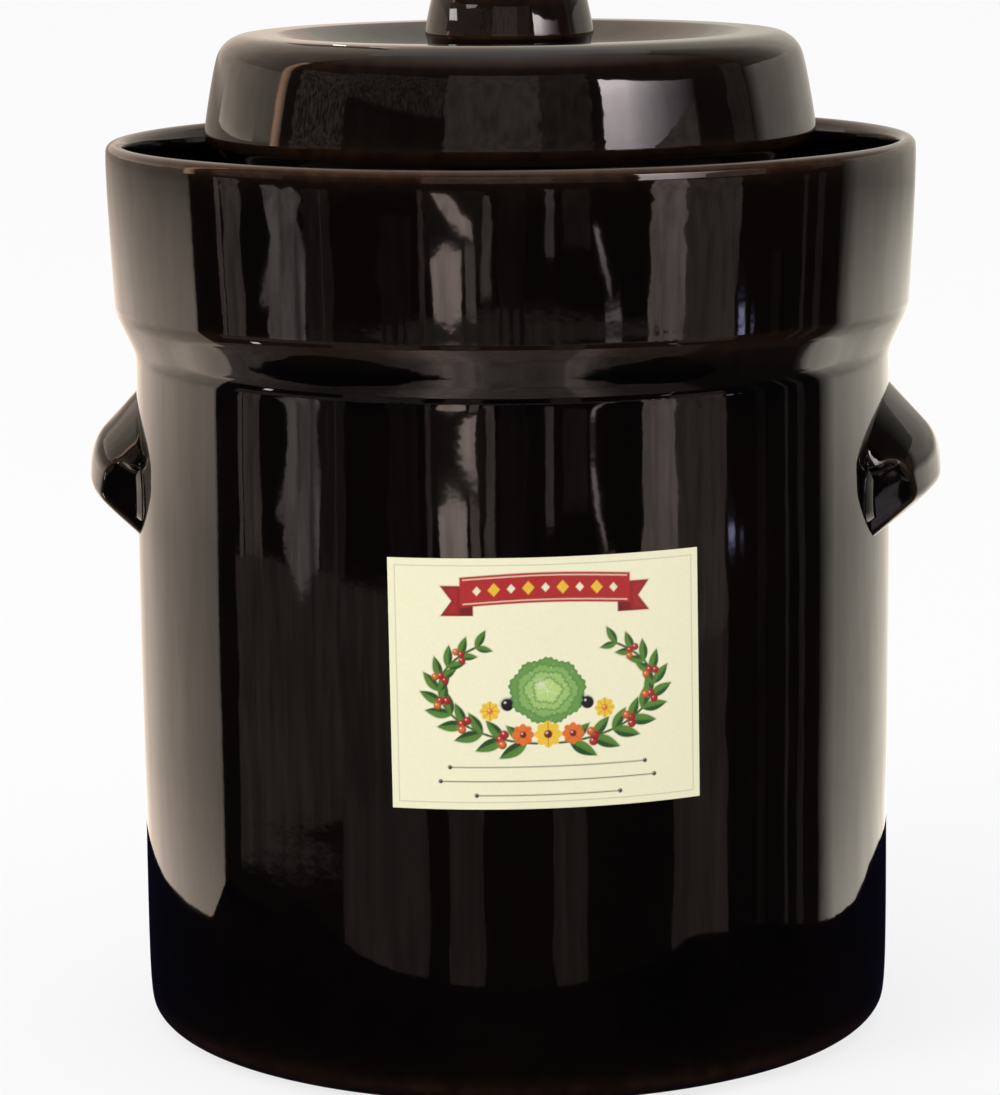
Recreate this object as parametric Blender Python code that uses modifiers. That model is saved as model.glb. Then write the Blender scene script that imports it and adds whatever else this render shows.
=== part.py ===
# Fermentation crock with a water-sealed lid: a glazed stoneware pot whose neck stands in a
# water trough, a lid whose skirt dips into that trough, two luted ear handles, a knob,
# a paper label and two half-round weighting stones lying on the floor inside.
# Units are metres. +Z is up, -Y is the front, and the handles are on +X and -X.
# The origin is the centre of the foot, on the surface that the crock stands on.

import math

import bmesh
import bpy
from mathutils import Matrix, Vector

# Clearance between pieces that touch
SEAT_GAP = 0.0003

# Crock: heights
RIM_HEIGHT = 0.2900
COLLAR_HEIGHT = 0.0543
SHOULDER_HEIGHT = 0.0137
BELLY_HEIGHT = 0.1300
TROUGH_DEPTH = 0.0470
NECK_RISE = 0.0020
FLOOR_THICKNESS = 0.0105

# Crock: radii and walls
COLLAR_RIM_R = 0.1309
COLLAR_FOOT_R = 0.12905
BODY_TOP_R = 0.1226
BODY_BELLY_R = 0.1231
BODY_BASE_R = 0.1219
NECK_INNER_R = 0.0755
BODY_WALL = 0.0088
COLLAR_RIM_WALL = 0.0056
COLLAR_FOOT_WALL = 0.0062
TROUGH_WALL = 0.0090
NECK_WALL = 0.0075
WEB_RISE = 0.0030

# Crock: foot
FOOT_ROUND_IN = 0.0122
FOOT_ROUND_UP = 0.0094
FOOT_RING_WIDTH = 0.0090
FOOT_RECESS = 0.0025
FOOT_BEVEL = 0.0010

# Crock: rounding of the corners
RIM_ROUND = 0.0027
NECK_ROUND = 0.0032
SHOULDER_ROUND = 0.0140
BELLY_ROUND = 7.5
TROUGH_ROUND = 0.0070
INNER_FLOOR_ROUND = 0.0100
INNER_SHOULDER_ROUND = 0.0160

# Lid
LID_CLEARANCE = 0.0034
SKIRT_WALL = 0.0052
BEAD_OVERHANG = 0.0077
BEAD_ABOVE_RIM = 0.0008
BEAD_UNDERCUT = 0.0078
CROWN_HEIGHT = 0.0332
CROWN_SET_IN = 0.0060
RIDGE_WIDTH = 0.0180
DISH_DEPTH = 0.0078
DISH_SLOPE_WIDTH = 0.0190
LID_WALL = 0.0070
LID_TOP_WALL = 0.0075
BEAD_ROUND = 0.0060
CROWN_ROUND = 0.0105
RIDGE_ROUND = 0.0040
DISH_ROUND = 0.0300
SKIRT_ROUND = 0.0018
GAS_NOTCH_R = 0.0070

# Lid knob
KNOB_HEIGHT = 0.0235
KNOB_WIDEST_R = 0.0274
KNOB_BASE_R = 0.0250
KNOB_EDGE_R = 0.0245
KNOB_CHAMFER = 0.0070
KNOB_CROWN = 0.0028
KNOB_EDGE_ROUND = 0.0030
KNOB_WIDEST_ROUND = 0.0040

# Handles
HANDLE_BELOW_SHOULDER = 0.0115
HANDLE_HEIGHT = 0.0472
HANDLE_REACH = 0.0170
HANDLE_WIDTH = 0.0795
HANDLE_BROW_HEIGHT = 0.0300
HANDLE_BROW_REACH = 0.0162
HANDLE_SHELL = 0.0048
HANDLE_END_WALL = 0.0085
HANDLE_MOUTH_DROP = 0.0100
HANDLE_END_HEIGHT = 0.55
HANDLE_FOOT_RISE = 0.0045
HOOD_SWEEP = math.radians(164)
HANDLE_BROW_ROUND = 0.0200
HANDLE_LIP_ROUND = 0.0065
FACET_START = 0.0352
FACET_END = 0.0258
FACET_END_REACH = 0.0132
FACET_TILT = math.radians(8)
FACET_PIVOT = 0.0120
PAD_WIDTH = 0.0840
PAD_THICKNESS = 0.0014
PAD_BELOW_TOP = 0.0060
PAD_WIDEST = 0.0152
PAD_ABOVE_FOOT = 0.0075
PAD_CORNER = 0.0110
LEFT_HANDLE_DROP = 0.0015

# Label
LABEL_WIDTH = 0.0966
LABEL_HEIGHT = 0.0774
LABEL_THICKNESS = 0.0003
LABEL_CENTRE_HEIGHT = 0.1344
LABEL_TURN = math.radians(10.5)
LABEL_TILT = math.radians(0.6)

# Weighting stones
STONE_CLEARANCE = 0.0110
STONE_THICKNESS = 0.0180
STONE_SPLIT = 0.0012
STONE_NOTCH_R = 0.0120
STONE_ROUND = 0.0020

# Fineness of the turned and lofted shapes
TURN_STEPS = 64
KNOB_STEPS = 40
HANDLE_STATIONS = 14
LABEL_COLUMNS = 12
LABEL_ROWS = 4
STONE_STEPS = 24
NOTCH_STEPS = 8
FOOT_STEPS = 4
ARCH_STEPS = 12
GAS_NOTCH_SIDES = 16
SHARP_ANGLE = math.radians(35)
WORN_EDGE_ANGLE = math.radians(60)

# Heights and radii that follow from the values above
COLLAR_FOOT_HEIGHT = RIM_HEIGHT - COLLAR_HEIGHT
SHOULDER_FOOT_HEIGHT = COLLAR_FOOT_HEIGHT - SHOULDER_HEIGHT
TROUGH_FLOOR = RIM_HEIGHT - TROUGH_DEPTH
NECK_TOP = RIM_HEIGHT + NECK_RISE
NECK_OUTER_R = NECK_INNER_R + NECK_WALL
BODY_INNER_TOP_R = BODY_TOP_R - BODY_WALL
BODY_INNER_BASE_R = BODY_BASE_R - BODY_WALL
LID_SEAT = TROUGH_FLOOR + SEAT_GAP
SKIRT_INNER_R = NECK_OUTER_R + LID_CLEARANCE
SKIRT_OUTER_R = SKIRT_INNER_R + SKIRT_WALL
BEAD_R = SKIRT_OUTER_R + BEAD_OVERHANG
BEAD_HEIGHT = TROUGH_DEPTH + BEAD_ABOVE_RIM - SEAT_GAP
CROWN_R = BEAD_R - CROWN_SET_IN
LID_TOP = BEAD_HEIGHT + CROWN_HEIGHT
DISH_HEIGHT = LID_TOP - DISH_DEPTH
RIDGE_R = CROWN_R - RIDGE_WIDTH
HANDLE_TOP = SHOULDER_FOOT_HEIGHT - HANDLE_BELOW_SHOULDER
HANDLE_FOOT = HANDLE_TOP - HANDLE_HEIGHT


def clear_scene():
    for obj in list(bpy.data.objects):
        bpy.data.objects.remove(obj, do_unlink=True)


def new_collection(name):
    group = bpy.data.collections.new(name)
    bpy.context.scene.collection.children.link(group)
    return group


def new_material(name, colour, roughness):
    material = bpy.data.materials.new(name)
    material.use_nodes = True
    shader = material.node_tree.nodes["Principled BSDF"]
    shader.inputs["Base Color"].default_value = (*colour, 1.0)
    shader.inputs["Roughness"].default_value = roughness
    shader.inputs["Metallic"].default_value = 0.0
    material.diffuse_color = (*colour, 1.0)
    return material


def rounded(corners):
    """Points of an outline whose corners are (r, z), (r, z, fillet) or (r, z, fillet, steps).

    A fillet is an arc that touches both sides of its corner. Where the sides are short,
    it is limited to half of the shorter one.
    """
    points = []
    for index, corner in enumerate(corners):
        here = Vector(corner[:2])
        fillet = corner[2] if len(corner) > 2 else 0.0
        steps = corner[3] if len(corner) > 3 else 3
        if not fillet or index in (0, len(corners) - 1):
            points.append(here)
            continue
        before = Vector(corners[index - 1][:2]) - here
        after = Vector(corners[index + 1][:2]) - here
        half_turn = (math.pi - before.angle(after)) / 2
        reach = min(fillet * math.tan(half_turn), before.length / 2, after.length / 2)
        fillet = reach / math.tan(half_turn)
        start = here + before.normalized() * reach
        middle = (before.normalized() + after.normalized()).normalized()
        centre = here + middle * math.hypot(fillet, reach)
        arm = start - centre
        turn = arm.angle_signed(here + after.normalized() * reach - centre)
        for step in range(steps + 1):
            spoke = arm.copy()
            spoke.rotate(Matrix.Rotation(-turn * step / steps, 2))
            points.append(centre + spoke)
    return points


def turned(name, outline, steps, group, material=None):
    """A solid turned about its Z axis from an outline that runs down its outer side."""
    mesh = bpy.data.meshes.new(name)
    vertices = [(r, 0.0, z) for r, z in outline]
    edges = [(index, index + 1) for index in range(len(vertices) - 1)]
    mesh.from_pydata(vertices, edges, [])
    obj = bpy.data.objects.new(name, mesh)
    group.objects.link(obj)
    screw = obj.modifiers.new("Turn", "SCREW")
    screw.axis = "Z"
    screw.angle = math.tau
    screw.steps = steps
    screw.render_steps = steps
    screw.use_merge_vertices = True
    screw.merge_threshold = 0.00001
    screw.use_smooth_shade = True
    if material:
        mesh.materials.append(material)
    return obj


def mesh_object(name, form, group, material=None):
    """A named object that takes over a finished bmesh."""
    bmesh.ops.recalc_face_normals(form, faces=form.faces)
    mesh = bpy.data.meshes.new(name)
    form.to_mesh(mesh)
    form.free()
    mesh.shade_smooth()
    mesh.set_sharp_from_angle(angle=SHARP_ANGLE)
    if material:
        mesh.materials.append(material)
    obj = bpy.data.objects.new(name, mesh)
    group.objects.link(obj)
    return obj


def boolean(obj, operation, other):
    cut = obj.modifiers.new(f"{operation.title()} {other.name}", "BOOLEAN")
    cut.operation = operation
    cut.solver = "EXACT"
    cut.object = other


def helper(obj):
    """Marks a cutter or guide, which isn't part of the crock."""
    obj.hide_render = True
    obj.display_type = "WIRE"
    return obj


def outer_wall(offset=0.0):
    """Outline of the crock's outside from the collar's foot to the foot's rounding."""
    return rounded(
        [
            (COLLAR_FOOT_R + offset, RIM_HEIGHT),
            (COLLAR_FOOT_R + offset, COLLAR_FOOT_HEIGHT, SHOULDER_ROUND, 4),
            (BODY_TOP_R + offset, SHOULDER_FOOT_HEIGHT, SHOULDER_ROUND, 4),
            (BODY_BELLY_R + offset, BELLY_HEIGHT, BELLY_ROUND, 3),
            (BODY_BASE_R + offset, FOOT_ROUND_UP),
        ]
    )


def wall_radius(height):
    """Radius of the crock's outer wall at a height between its foot and its shoulder."""
    wall = outer_wall()
    for above, below in zip(wall, wall[1:]):
        if below.y <= height <= above.y and above.y > below.y:
            share = (height - below.y) / (above.y - below.y)
            return below.x + share * (above.x - below.x)
    return BODY_BASE_R


def crock_outline():
    """From the floor's centre up the inside, over neck, trough and rim, and down the outside."""
    inside = rounded(
        [
            (0.0, FLOOR_THICKNESS),
            (BODY_INNER_BASE_R, FLOOR_THICKNESS, INNER_FLOOR_ROUND, 2),
            (BODY_INNER_TOP_R, TROUGH_FLOOR - TROUGH_WALL, INNER_SHOULDER_ROUND, 3),
            (NECK_INNER_R, TROUGH_FLOOR - TROUGH_WALL + WEB_RISE, NECK_ROUND, 2),
            (NECK_INNER_R, NECK_TOP, NECK_ROUND, 2),
            (NECK_OUTER_R, NECK_TOP, NECK_ROUND, 2),
            (NECK_OUTER_R, TROUGH_FLOOR, LID_CLEARANCE, 2),
            (COLLAR_FOOT_R - COLLAR_FOOT_WALL, TROUGH_FLOOR, TROUGH_ROUND, 2),
            (COLLAR_RIM_R - COLLAR_RIM_WALL, RIM_HEIGHT, RIM_ROUND, 3),
            (COLLAR_RIM_R, RIM_HEIGHT, RIM_ROUND, 3),
            (COLLAR_FOOT_R, COLLAR_FOOT_HEIGHT),
        ]
    )[:-1]
    foot_outer_r = BODY_BASE_R - FOOT_ROUND_IN
    foot_inner_r = foot_outer_r - FOOT_RING_WIDTH
    foot_curve = []
    for step in range(1, FOOT_STEPS + 1):
        angle = math.pi / 2 * step / FOOT_STEPS
        r = foot_outer_r + FOOT_ROUND_IN * math.cos(angle)
        foot_curve.append(Vector((r, FOOT_ROUND_UP * (1 - math.sin(angle)))))
    recess = [
        Vector((foot_inner_r, 0.0)),
        Vector((foot_inner_r - FOOT_BEVEL, FOOT_RECESS)),
        Vector((0.0, FOOT_RECESS)),
    ]
    return inside + outer_wall()[1:] + foot_curve + recess


def lid_outline():
    """From the centre of the dished top over ridge and bead, down the skirt and up inside."""
    ceiling = DISH_HEIGHT - LID_TOP_WALL
    return rounded(
        [
            (0.0, DISH_HEIGHT),
            (RIDGE_R - DISH_SLOPE_WIDTH, DISH_HEIGHT, DISH_ROUND, 2),
            (RIDGE_R, LID_TOP, RIDGE_ROUND, 2),
            (CROWN_R, LID_TOP, CROWN_ROUND, 4),
            (BEAD_R, BEAD_HEIGHT, BEAD_ROUND, 3),
            (SKIRT_OUTER_R, BEAD_HEIGHT - BEAD_UNDERCUT, RIDGE_ROUND, 2),
            (SKIRT_OUTER_R, 0.0, SKIRT_ROUND, 2),
            (SKIRT_INNER_R, 0.0, SKIRT_ROUND, 2),
            (SKIRT_INNER_R, BEAD_HEIGHT - BEAD_UNDERCUT + RIDGE_ROUND, RIDGE_ROUND, 2),
            (BEAD_R - LID_WALL, BEAD_HEIGHT + LID_WALL, BEAD_ROUND, 2),
            (CROWN_R - LID_WALL, LID_TOP - LID_WALL, CROWN_ROUND, 3),
            (RIDGE_R - DISH_SLOPE_WIDTH, ceiling, DISH_ROUND, 2),
            (0.0, ceiling),
        ]
    )


def knob_outline():
    return rounded(
        [
            (0.0, KNOB_HEIGHT),
            (KNOB_EDGE_R, KNOB_HEIGHT - KNOB_CROWN, KNOB_EDGE_ROUND, 3),
            (KNOB_WIDEST_R, KNOB_CHAMFER, KNOB_WIDEST_ROUND, 3),
            (KNOB_BASE_R, 0.0),
            (0.0, 0.0),
        ]
    )


def handle_section(share, height_share, shell=0.0, drop=0.0):
    """Outline of the hood where it stands off the wall by a share of its full reach.

    It runs on into the wall, which trims it, and its foot rises towards the ends. A shell
    thins it all round, and a drop opens its foot downward.
    """
    wall = wall_radius(HANDLE_FOOT)
    foot = HANDLE_FOOT + HANDLE_FOOT_RISE * (1 - share) - drop
    top = HANDLE_FOOT + (HANDLE_HEIGHT - 2 * shell) * height_share
    brow = HANDLE_FOOT + HANDLE_BROW_HEIGHT * height_share - shell
    lip = HANDLE_REACH * share - shell
    return rounded(
        [
            (wall - HANDLE_REACH, top + HANDLE_REACH),
            (wall, top),
            (wall + HANDLE_BROW_REACH * share - shell, brow, HANDLE_BROW_ROUND * share, 4),
            (wall + lip, foot + lip, HANDLE_LIP_ROUND * share, 4),
            (wall - HANDLE_REACH, foot - HANDLE_REACH),
        ]
    )


def loft(sections, angles):
    """A closed bmesh through outlines that stand in upright planes turned about Z."""
    form = bmesh.new()
    rings = []
    for section, angle in zip(sections, angles):
        cos, sin = math.cos(angle), math.sin(angle)
        rings.append([form.verts.new((r * cos, r * sin, z)) for r, z in section])
    for ring, following in zip(rings, rings[1:]):
        for index, vertex in enumerate(ring):
            after = (index + 1) % len(ring)
            form.faces.new((vertex, ring[after], following[after], following[index]))
    form.faces.new(rings[0])
    form.faces.new(rings[-1])
    return form


def hood_form(width, shell=0.0, drop=0.0):
    """The ear's swelling form: its reach and height fall off as an ellipse to both ends."""
    half_angle = width / 2 / wall_radius(HANDLE_FOOT)
    sections = []
    angles = []
    for station in range(HANDLE_STATIONS + 1):
        swing = HOOD_SWEEP * (station / HANDLE_STATIONS - 0.5)
        share = math.cos(swing)
        height_share = HANDLE_END_HEIGHT + (1 - HANDLE_END_HEIGHT) * share
        sections.append(handle_section(share, height_share, shell, drop))
        angles.append(half_angle * math.sin(swing))
    return loft(sections, angles)


def prism(outline, low, high):
    """A bmesh of a flat outline in Y and Z, carried along X from low to high."""
    form = bmesh.new()
    base = form.faces.new([form.verts.new((low, y, z)) for y, z in outline])
    grown = bmesh.ops.extrude_face_region(form, geom=[base])
    moved = [item for item in grown["geom"] if isinstance(item, bmesh.types.BMVert)]
    bmesh.ops.translate(form, verts=moved, vec=(high - low, 0.0, 0.0))
    return form


def pad_outline():
    """Arched outline of the clay pad that beds the handle on the wall."""
    half = PAD_WIDTH / 2
    widest = HANDLE_FOOT + PAD_WIDEST
    rise = HANDLE_TOP - PAD_BELOW_TOP - widest
    arch = []
    for step in range(ARCH_STEPS + 1):
        angle = math.pi * step / ARCH_STEPS
        arch.append(Vector((half * math.cos(angle), widest + rise * math.sin(angle))))
    foot = rounded(
        [
            (-half, widest),
            (-half, HANDLE_FOOT + PAD_ABOVE_FOOT, PAD_CORNER, 3),
            (half, HANDLE_FOOT + PAD_ABOVE_FOOT, PAD_CORNER, 3),
            (half, widest),
        ]
    )[1:-1]
    return arch + foot


def facet_cutter(name, side, group):
    """A block whose face trims one end of the hood to a slanting flat, less of it above."""
    wall = wall_radius(HANDLE_FOOT)
    start_angle = FACET_START / wall
    end_angle = FACET_END / wall
    start_r = wall + PAD_THICKNESS
    end_r = wall + FACET_END_REACH
    start = Vector((start_r * math.cos(start_angle), start_r * math.sin(start_angle), 0.0))
    end = Vector((end_r * math.cos(end_angle), end_r * math.sin(end_angle), 0.0))
    along = (end - start).normalized()
    outward = Vector((along.y, -along.x, 0.0))
    if outward.y < 0:
        outward = -outward
    away = outward * math.cos(FACET_TILT) - Vector((0.0, 0.0, math.sin(FACET_TILT)))
    size = HANDLE_WIDTH
    form = bmesh.new()
    bmesh.ops.create_cube(form, size=size)
    turn = Matrix((along, away, along.cross(away))).transposed().to_4x4()
    pivot = (start + end) / 2 + Vector((0.0, 0.0, HANDLE_FOOT + FACET_PIVOT))
    middle = pivot + away * size / 2
    bmesh.ops.transform(form, matrix=Matrix.Translation(middle) @ turn, verts=form.verts)
    if side < 0:
        bmesh.ops.scale(form, vec=(1.0, -1.0, 1.0), verts=form.verts)
    return helper(mesh_object(name, form, group))


def make_handle(name, turn, drop, group, cutters, wall_core, pad_core, material):
    """An ear pressed from clay: a hood with trimmed ends, hollow below, on a thin pad.

    The cores that fit it to the wall stand still, and everything else takes its turn and drop.
    """
    wall = wall_radius(HANDLE_FOOT)
    handle = mesh_object(name, hood_form(HANDLE_WIDTH), group, material)
    pad_low = wall - HANDLE_REACH
    pad_high = wall + HANDLE_REACH
    pad = mesh_object(f"{name}_pad", prism(pad_outline(), pad_low, pad_high), cutters)
    boolean(helper(pad), "INTERSECT", pad_core)
    hollow_width = HANDLE_WIDTH - 2 * HANDLE_END_WALL
    hollow_form = hood_form(hollow_width, HANDLE_SHELL, HANDLE_MOUTH_DROP)
    hollow = helper(mesh_object(f"{name}_hollow", hollow_form, cutters))
    facets = [facet_cutter(f"{name}_facet_{side}", side, cutters) for side in (1, -1)]
    for facet in facets:
        boolean(handle, "DIFFERENCE", facet)
    boolean(handle, "UNION", pad)
    boolean(handle, "DIFFERENCE", hollow)
    boolean(handle, "DIFFERENCE", wall_core)
    for piece in (handle, pad, hollow, *facets):
        piece.rotation_euler.z = turn
        piece.location.z = -drop
    return handle


def make_label(group, material):
    """A paper sheet wrapped on the wall, a little tilted, and thickened outward."""
    form = bmesh.new()
    grid = []
    for row in range(LABEL_ROWS + 1):
        line = []
        for column in range(LABEL_COLUMNS + 1):
            across = LABEL_WIDTH * (column / LABEL_COLUMNS - 0.5)
            up = LABEL_HEIGHT * (row / LABEL_ROWS - 0.5)
            along = across * math.cos(LABEL_TILT) - up * math.sin(LABEL_TILT)
            height = across * math.sin(LABEL_TILT) + up * math.cos(LABEL_TILT)
            height += LABEL_CENTRE_HEIGHT
            radius = wall_radius(height) + SEAT_GAP
            angle = LABEL_TURN + along / radius
            x, y = radius * math.sin(angle), -radius * math.cos(angle)
            line.append(form.verts.new((x, y, height)))
        grid.append(line)
    for low, high in zip(grid, grid[1:]):
        for column in range(LABEL_COLUMNS):
            form.faces.new((low[column], low[column + 1], high[column + 1], high[column]))
    mesh = bpy.data.meshes.new("label")
    form.to_mesh(mesh)
    form.free()
    mesh.shade_smooth()
    mesh.materials.append(material)
    label = bpy.data.objects.new("label", mesh)
    group.objects.link(label)
    paper = label.modifiers.new("Paper", "SOLIDIFY")
    paper.thickness = LABEL_THICKNESS
    paper.offset = 1.0
    return label


def stone_outline():
    """Half disc on the +X side, its straight edge notched by a half circle for a finger."""
    radius = BODY_INNER_BASE_R - STONE_CLEARANCE
    edge = STONE_SPLIT / 2
    reach = math.acos(edge / radius)
    outline = []
    for step in range(STONE_STEPS + 1):
        angle = -reach + 2 * reach * step / STONE_STEPS
        outline.append((radius * math.cos(angle), radius * math.sin(angle)))
    for step in range(NOTCH_STEPS + 1):
        angle = math.pi / 2 - math.pi * step / NOTCH_STEPS
        outline.append((edge + STONE_NOTCH_R * math.cos(angle), STONE_NOTCH_R * math.sin(angle)))
    return outline


def make_stone(name, turn, group, material):
    form = bmesh.new()
    form.faces.new([form.verts.new((x, y, 0.0)) for x, y in stone_outline()])
    mesh = bpy.data.meshes.new(name)
    form.to_mesh(mesh)
    form.free()
    mesh.materials.append(material)
    stone = bpy.data.objects.new(name, mesh)
    group.objects.link(stone)
    stone.location.z = FLOOR_THICKNESS + SEAT_GAP
    stone.rotation_euler.z = turn
    slab = stone.modifiers.new("Slab", "SOLIDIFY")
    slab.thickness = STONE_THICKNESS
    slab.offset = 1.0
    edge = stone.modifiers.new("Worn edge", "BEVEL")
    edge.width = STONE_ROUND
    edge.segments = 2
    edge.limit_method = "ANGLE"
    edge.angle_limit = WORN_EDGE_ANGLE
    return stone


def make_crock():
    clear_scene()
    crock = new_collection("fermentation_crock")
    cutters = new_collection("cutters")
    glaze = (0.016, 0.009, 0.006)
    body_glaze = new_material("body_glaze", glaze, 0.06)
    handle_glaze = new_material("handle_glaze", glaze, 0.08)
    lid_glaze = new_material("lid_glaze", glaze, 0.06)
    knob_glaze = new_material("knob_glaze", glaze, 0.06)
    paper = new_material("label_paper", (0.86, 0.84, 0.68), 0.45)
    stoneware = new_material("stoneware", (0.52, 0.43, 0.33), 0.85)

    turned("crock_body", crock_outline(), TURN_STEPS, crock, body_glaze)

    core_top = Vector((0.0, RIM_HEIGHT))
    core_foot = Vector((0.0, FOOT_ROUND_UP))
    wall_outline = [core_top] + outer_wall(SEAT_GAP) + [core_foot]
    wall_core = helper(turned("wall_core", wall_outline, TURN_STEPS, cutters))
    pad_wall = [core_top] + outer_wall(PAD_THICKNESS) + [core_foot]
    pad_core = helper(turned("pad_core", pad_wall, TURN_STEPS, cutters))
    ears = (("handle_right", 0.0, 0.0), ("handle_left", math.pi, LEFT_HANDLE_DROP))
    for name, turn, drop in ears:
        make_handle(name, turn, drop, crock, cutters, wall_core, pad_core, handle_glaze)

    make_label(crock, paper)

    lid = turned("lid", lid_outline(), TURN_STEPS, crock, lid_glaze)
    lid.location.z = LID_SEAT
    notch_form = bmesh.new()
    bmesh.ops.create_cone(
        notch_form,
        cap_ends=True,
        segments=GAS_NOTCH_SIDES,
        radius1=GAS_NOTCH_R,
        radius2=GAS_NOTCH_R,
        depth=2 * (BEAD_R + GAS_NOTCH_R),
        matrix=Matrix.Rotation(math.pi / 2, 4, "Y"),
    )
    notch = helper(mesh_object("gas_notch", notch_form, cutters))
    notch.location.z = LID_SEAT
    boolean(lid, "DIFFERENCE", notch)

    knob = turned("lid_knob", knob_outline(), KNOB_STEPS, crock, knob_glaze)
    knob.parent = lid
    knob.location.z = DISH_HEIGHT + SEAT_GAP

    make_stone("weight_right", 0.0, crock, stoneware)
    make_stone("weight_left", math.pi, crock, stoneware)


make_crock()
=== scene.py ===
# %% [markdown]
# # A fermentation crock in dark glaze
#
# A fermentation crock is a thick stoneware pot for pickling vegetables. Its lid stands in a
# ring of water, which lets gas out and keeps air from coming in. This script dresses the packed
# model of such a crock: every solid gets a finer surface, its finish and its place on the
# body that it moves with. It starts by loading that model, because all the sizes come from it.

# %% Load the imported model
import math

import bmesh
import bpy
import numpy as np
from mathutils import Matrix, Vector, noise


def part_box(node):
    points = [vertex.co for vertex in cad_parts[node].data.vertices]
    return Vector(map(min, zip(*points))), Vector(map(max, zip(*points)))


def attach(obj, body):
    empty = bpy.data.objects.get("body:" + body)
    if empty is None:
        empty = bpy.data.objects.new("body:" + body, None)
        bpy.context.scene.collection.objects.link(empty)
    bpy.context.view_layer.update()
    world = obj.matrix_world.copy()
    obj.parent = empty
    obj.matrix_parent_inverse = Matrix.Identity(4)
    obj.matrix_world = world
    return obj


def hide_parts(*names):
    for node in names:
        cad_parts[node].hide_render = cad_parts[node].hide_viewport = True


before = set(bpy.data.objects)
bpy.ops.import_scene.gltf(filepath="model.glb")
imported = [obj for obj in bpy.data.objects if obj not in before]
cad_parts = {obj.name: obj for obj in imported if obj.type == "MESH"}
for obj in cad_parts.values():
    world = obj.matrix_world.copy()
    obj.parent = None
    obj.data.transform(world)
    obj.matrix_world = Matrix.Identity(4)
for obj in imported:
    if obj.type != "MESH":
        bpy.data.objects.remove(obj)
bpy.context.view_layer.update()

# %% [markdown]
# ## Camera
#
# A product photograph is taken from a few steps away with a long lens, so that the pot's sides
# stay upright. The camera stands a little above the lid and looks down about ten degrees. Its
# place is given by a distance, a height and a small turn to the right. The last turn, about the
# line of sight, is the slight tilt with which the picture was taken.

# %% Place the camera
PHOTO_HEIGHT_PX = 1095
FOCAL_PX = 4341.0
SENSOR_MM = 36.0
CAMERA_DISTANCE = 1.408
CAMERA_HEIGHT = 0.3968
CAMERA_TURN = math.radians(6.0)
CAMERA_PITCH = 0.170
CAMERA_YAW = 14.2 / FOCAL_PX
CAMERA_ROLL = math.radians(0.55)


def in_scene(name, data):
    """A new object with this name and data, put into the scene."""
    obj = bpy.data.objects.new(name, data)
    bpy.context.scene.collection.objects.link(obj)
    return obj


def place_camera():
    lens = bpy.data.cameras.new("camera")
    lens.sensor_width = SENSOR_MM
    lens.lens = FOCAL_PX * SENSOR_MM / PHOTO_HEIGHT_PX
    camera = in_scene("camera", lens)
    camera.matrix_world = (
        Matrix.Rotation(CAMERA_TURN, 4, "Z")
        @ Matrix.Translation((0.0, -CAMERA_DISTANCE, CAMERA_HEIGHT))
        @ Matrix.Rotation(CAMERA_YAW, 4, "Z")
        @ Matrix.Rotation(math.pi / 2 - CAMERA_PITCH, 4, "X")
        @ Matrix.Rotation(-CAMERA_ROLL, 4, "Z")
    )
    bpy.context.scene.camera = camera
    return camera


camera = place_camera()
print("lens in mm:", round(camera.data.lens, 1))

# %% [markdown]
# ## Outlines for turned pieces
#
# Pot, lid and knob are all thrown on a wheel, so each is one outline turned about the upright
# axis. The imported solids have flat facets, but their outlines are exact. The outline is
# therefore read where the solid meets the plane x = 0, and a Catmull-Rom curve through its
# points makes the roundings smooth again. Corners that turn sharply stay as they are.

# %% Read and smooth an outline
SEAM_TOLERANCE = 1e-6
PLACE_DIGITS = 6
CORNER_ANGLE = math.radians(60)
LONG_STEP = 0.004
FEWEST_STEPS = 3


def seam_outline(node):
    """Points (radius, height) of a packed turned solid on its +Y side, from its upper end."""
    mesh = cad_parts[node].data
    places = {}
    for vertex in mesh.vertices:
        x, y, z = vertex.co
        if abs(x) < SEAM_TOLERANCE and y > -SEAM_TOLERANCE:
            places[vertex.index] = (round(y, PLACE_DIGITS), round(z, PLACE_DIGITS))
    links = {}
    for edge in mesh.edges:
        one, other = (places.get(index) for index in edge.vertices)
        if one and other and one != other:
            links.setdefault(one, set()).add(other)
            links.setdefault(other, set()).add(one)
    ends = [place for place, near in links.items() if len(near) == 1]
    here = max(ends, key=lambda place: place[1])
    outline = [here]
    while True:
        onward = links[here] - set(outline)
        if not onward:
            break
        here = onward.pop()
        outline.append(here)
    first, last = outline[0], outline[-1]
    if first[0] > 0:
        outline.insert(0, (0.0, first[1]))
    if last[0] > 0:
        outline.append((0.0, last[1]))
    return [Vector(place) for place in outline]


def on_curve(before, start, end, after, share):
    """A point between start and end on the centripetal Catmull-Rom curve through all four."""
    knots = [0.0]
    places = (before, start, end, after)
    for one, other in zip(places, places[1:]):
        knots.append(knots[-1] + math.sqrt((other - one).length))
    at = knots[1] + share * (knots[2] - knots[1])
    level = list(places)
    for depth in (1, 2):
        level = [
            level[i].lerp(level[i + 1], (at - knots[i]) / (knots[i + depth] - knots[i]))
            for i in range(4 - depth)
        ]
    return level[0].lerp(level[1], share)


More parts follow.
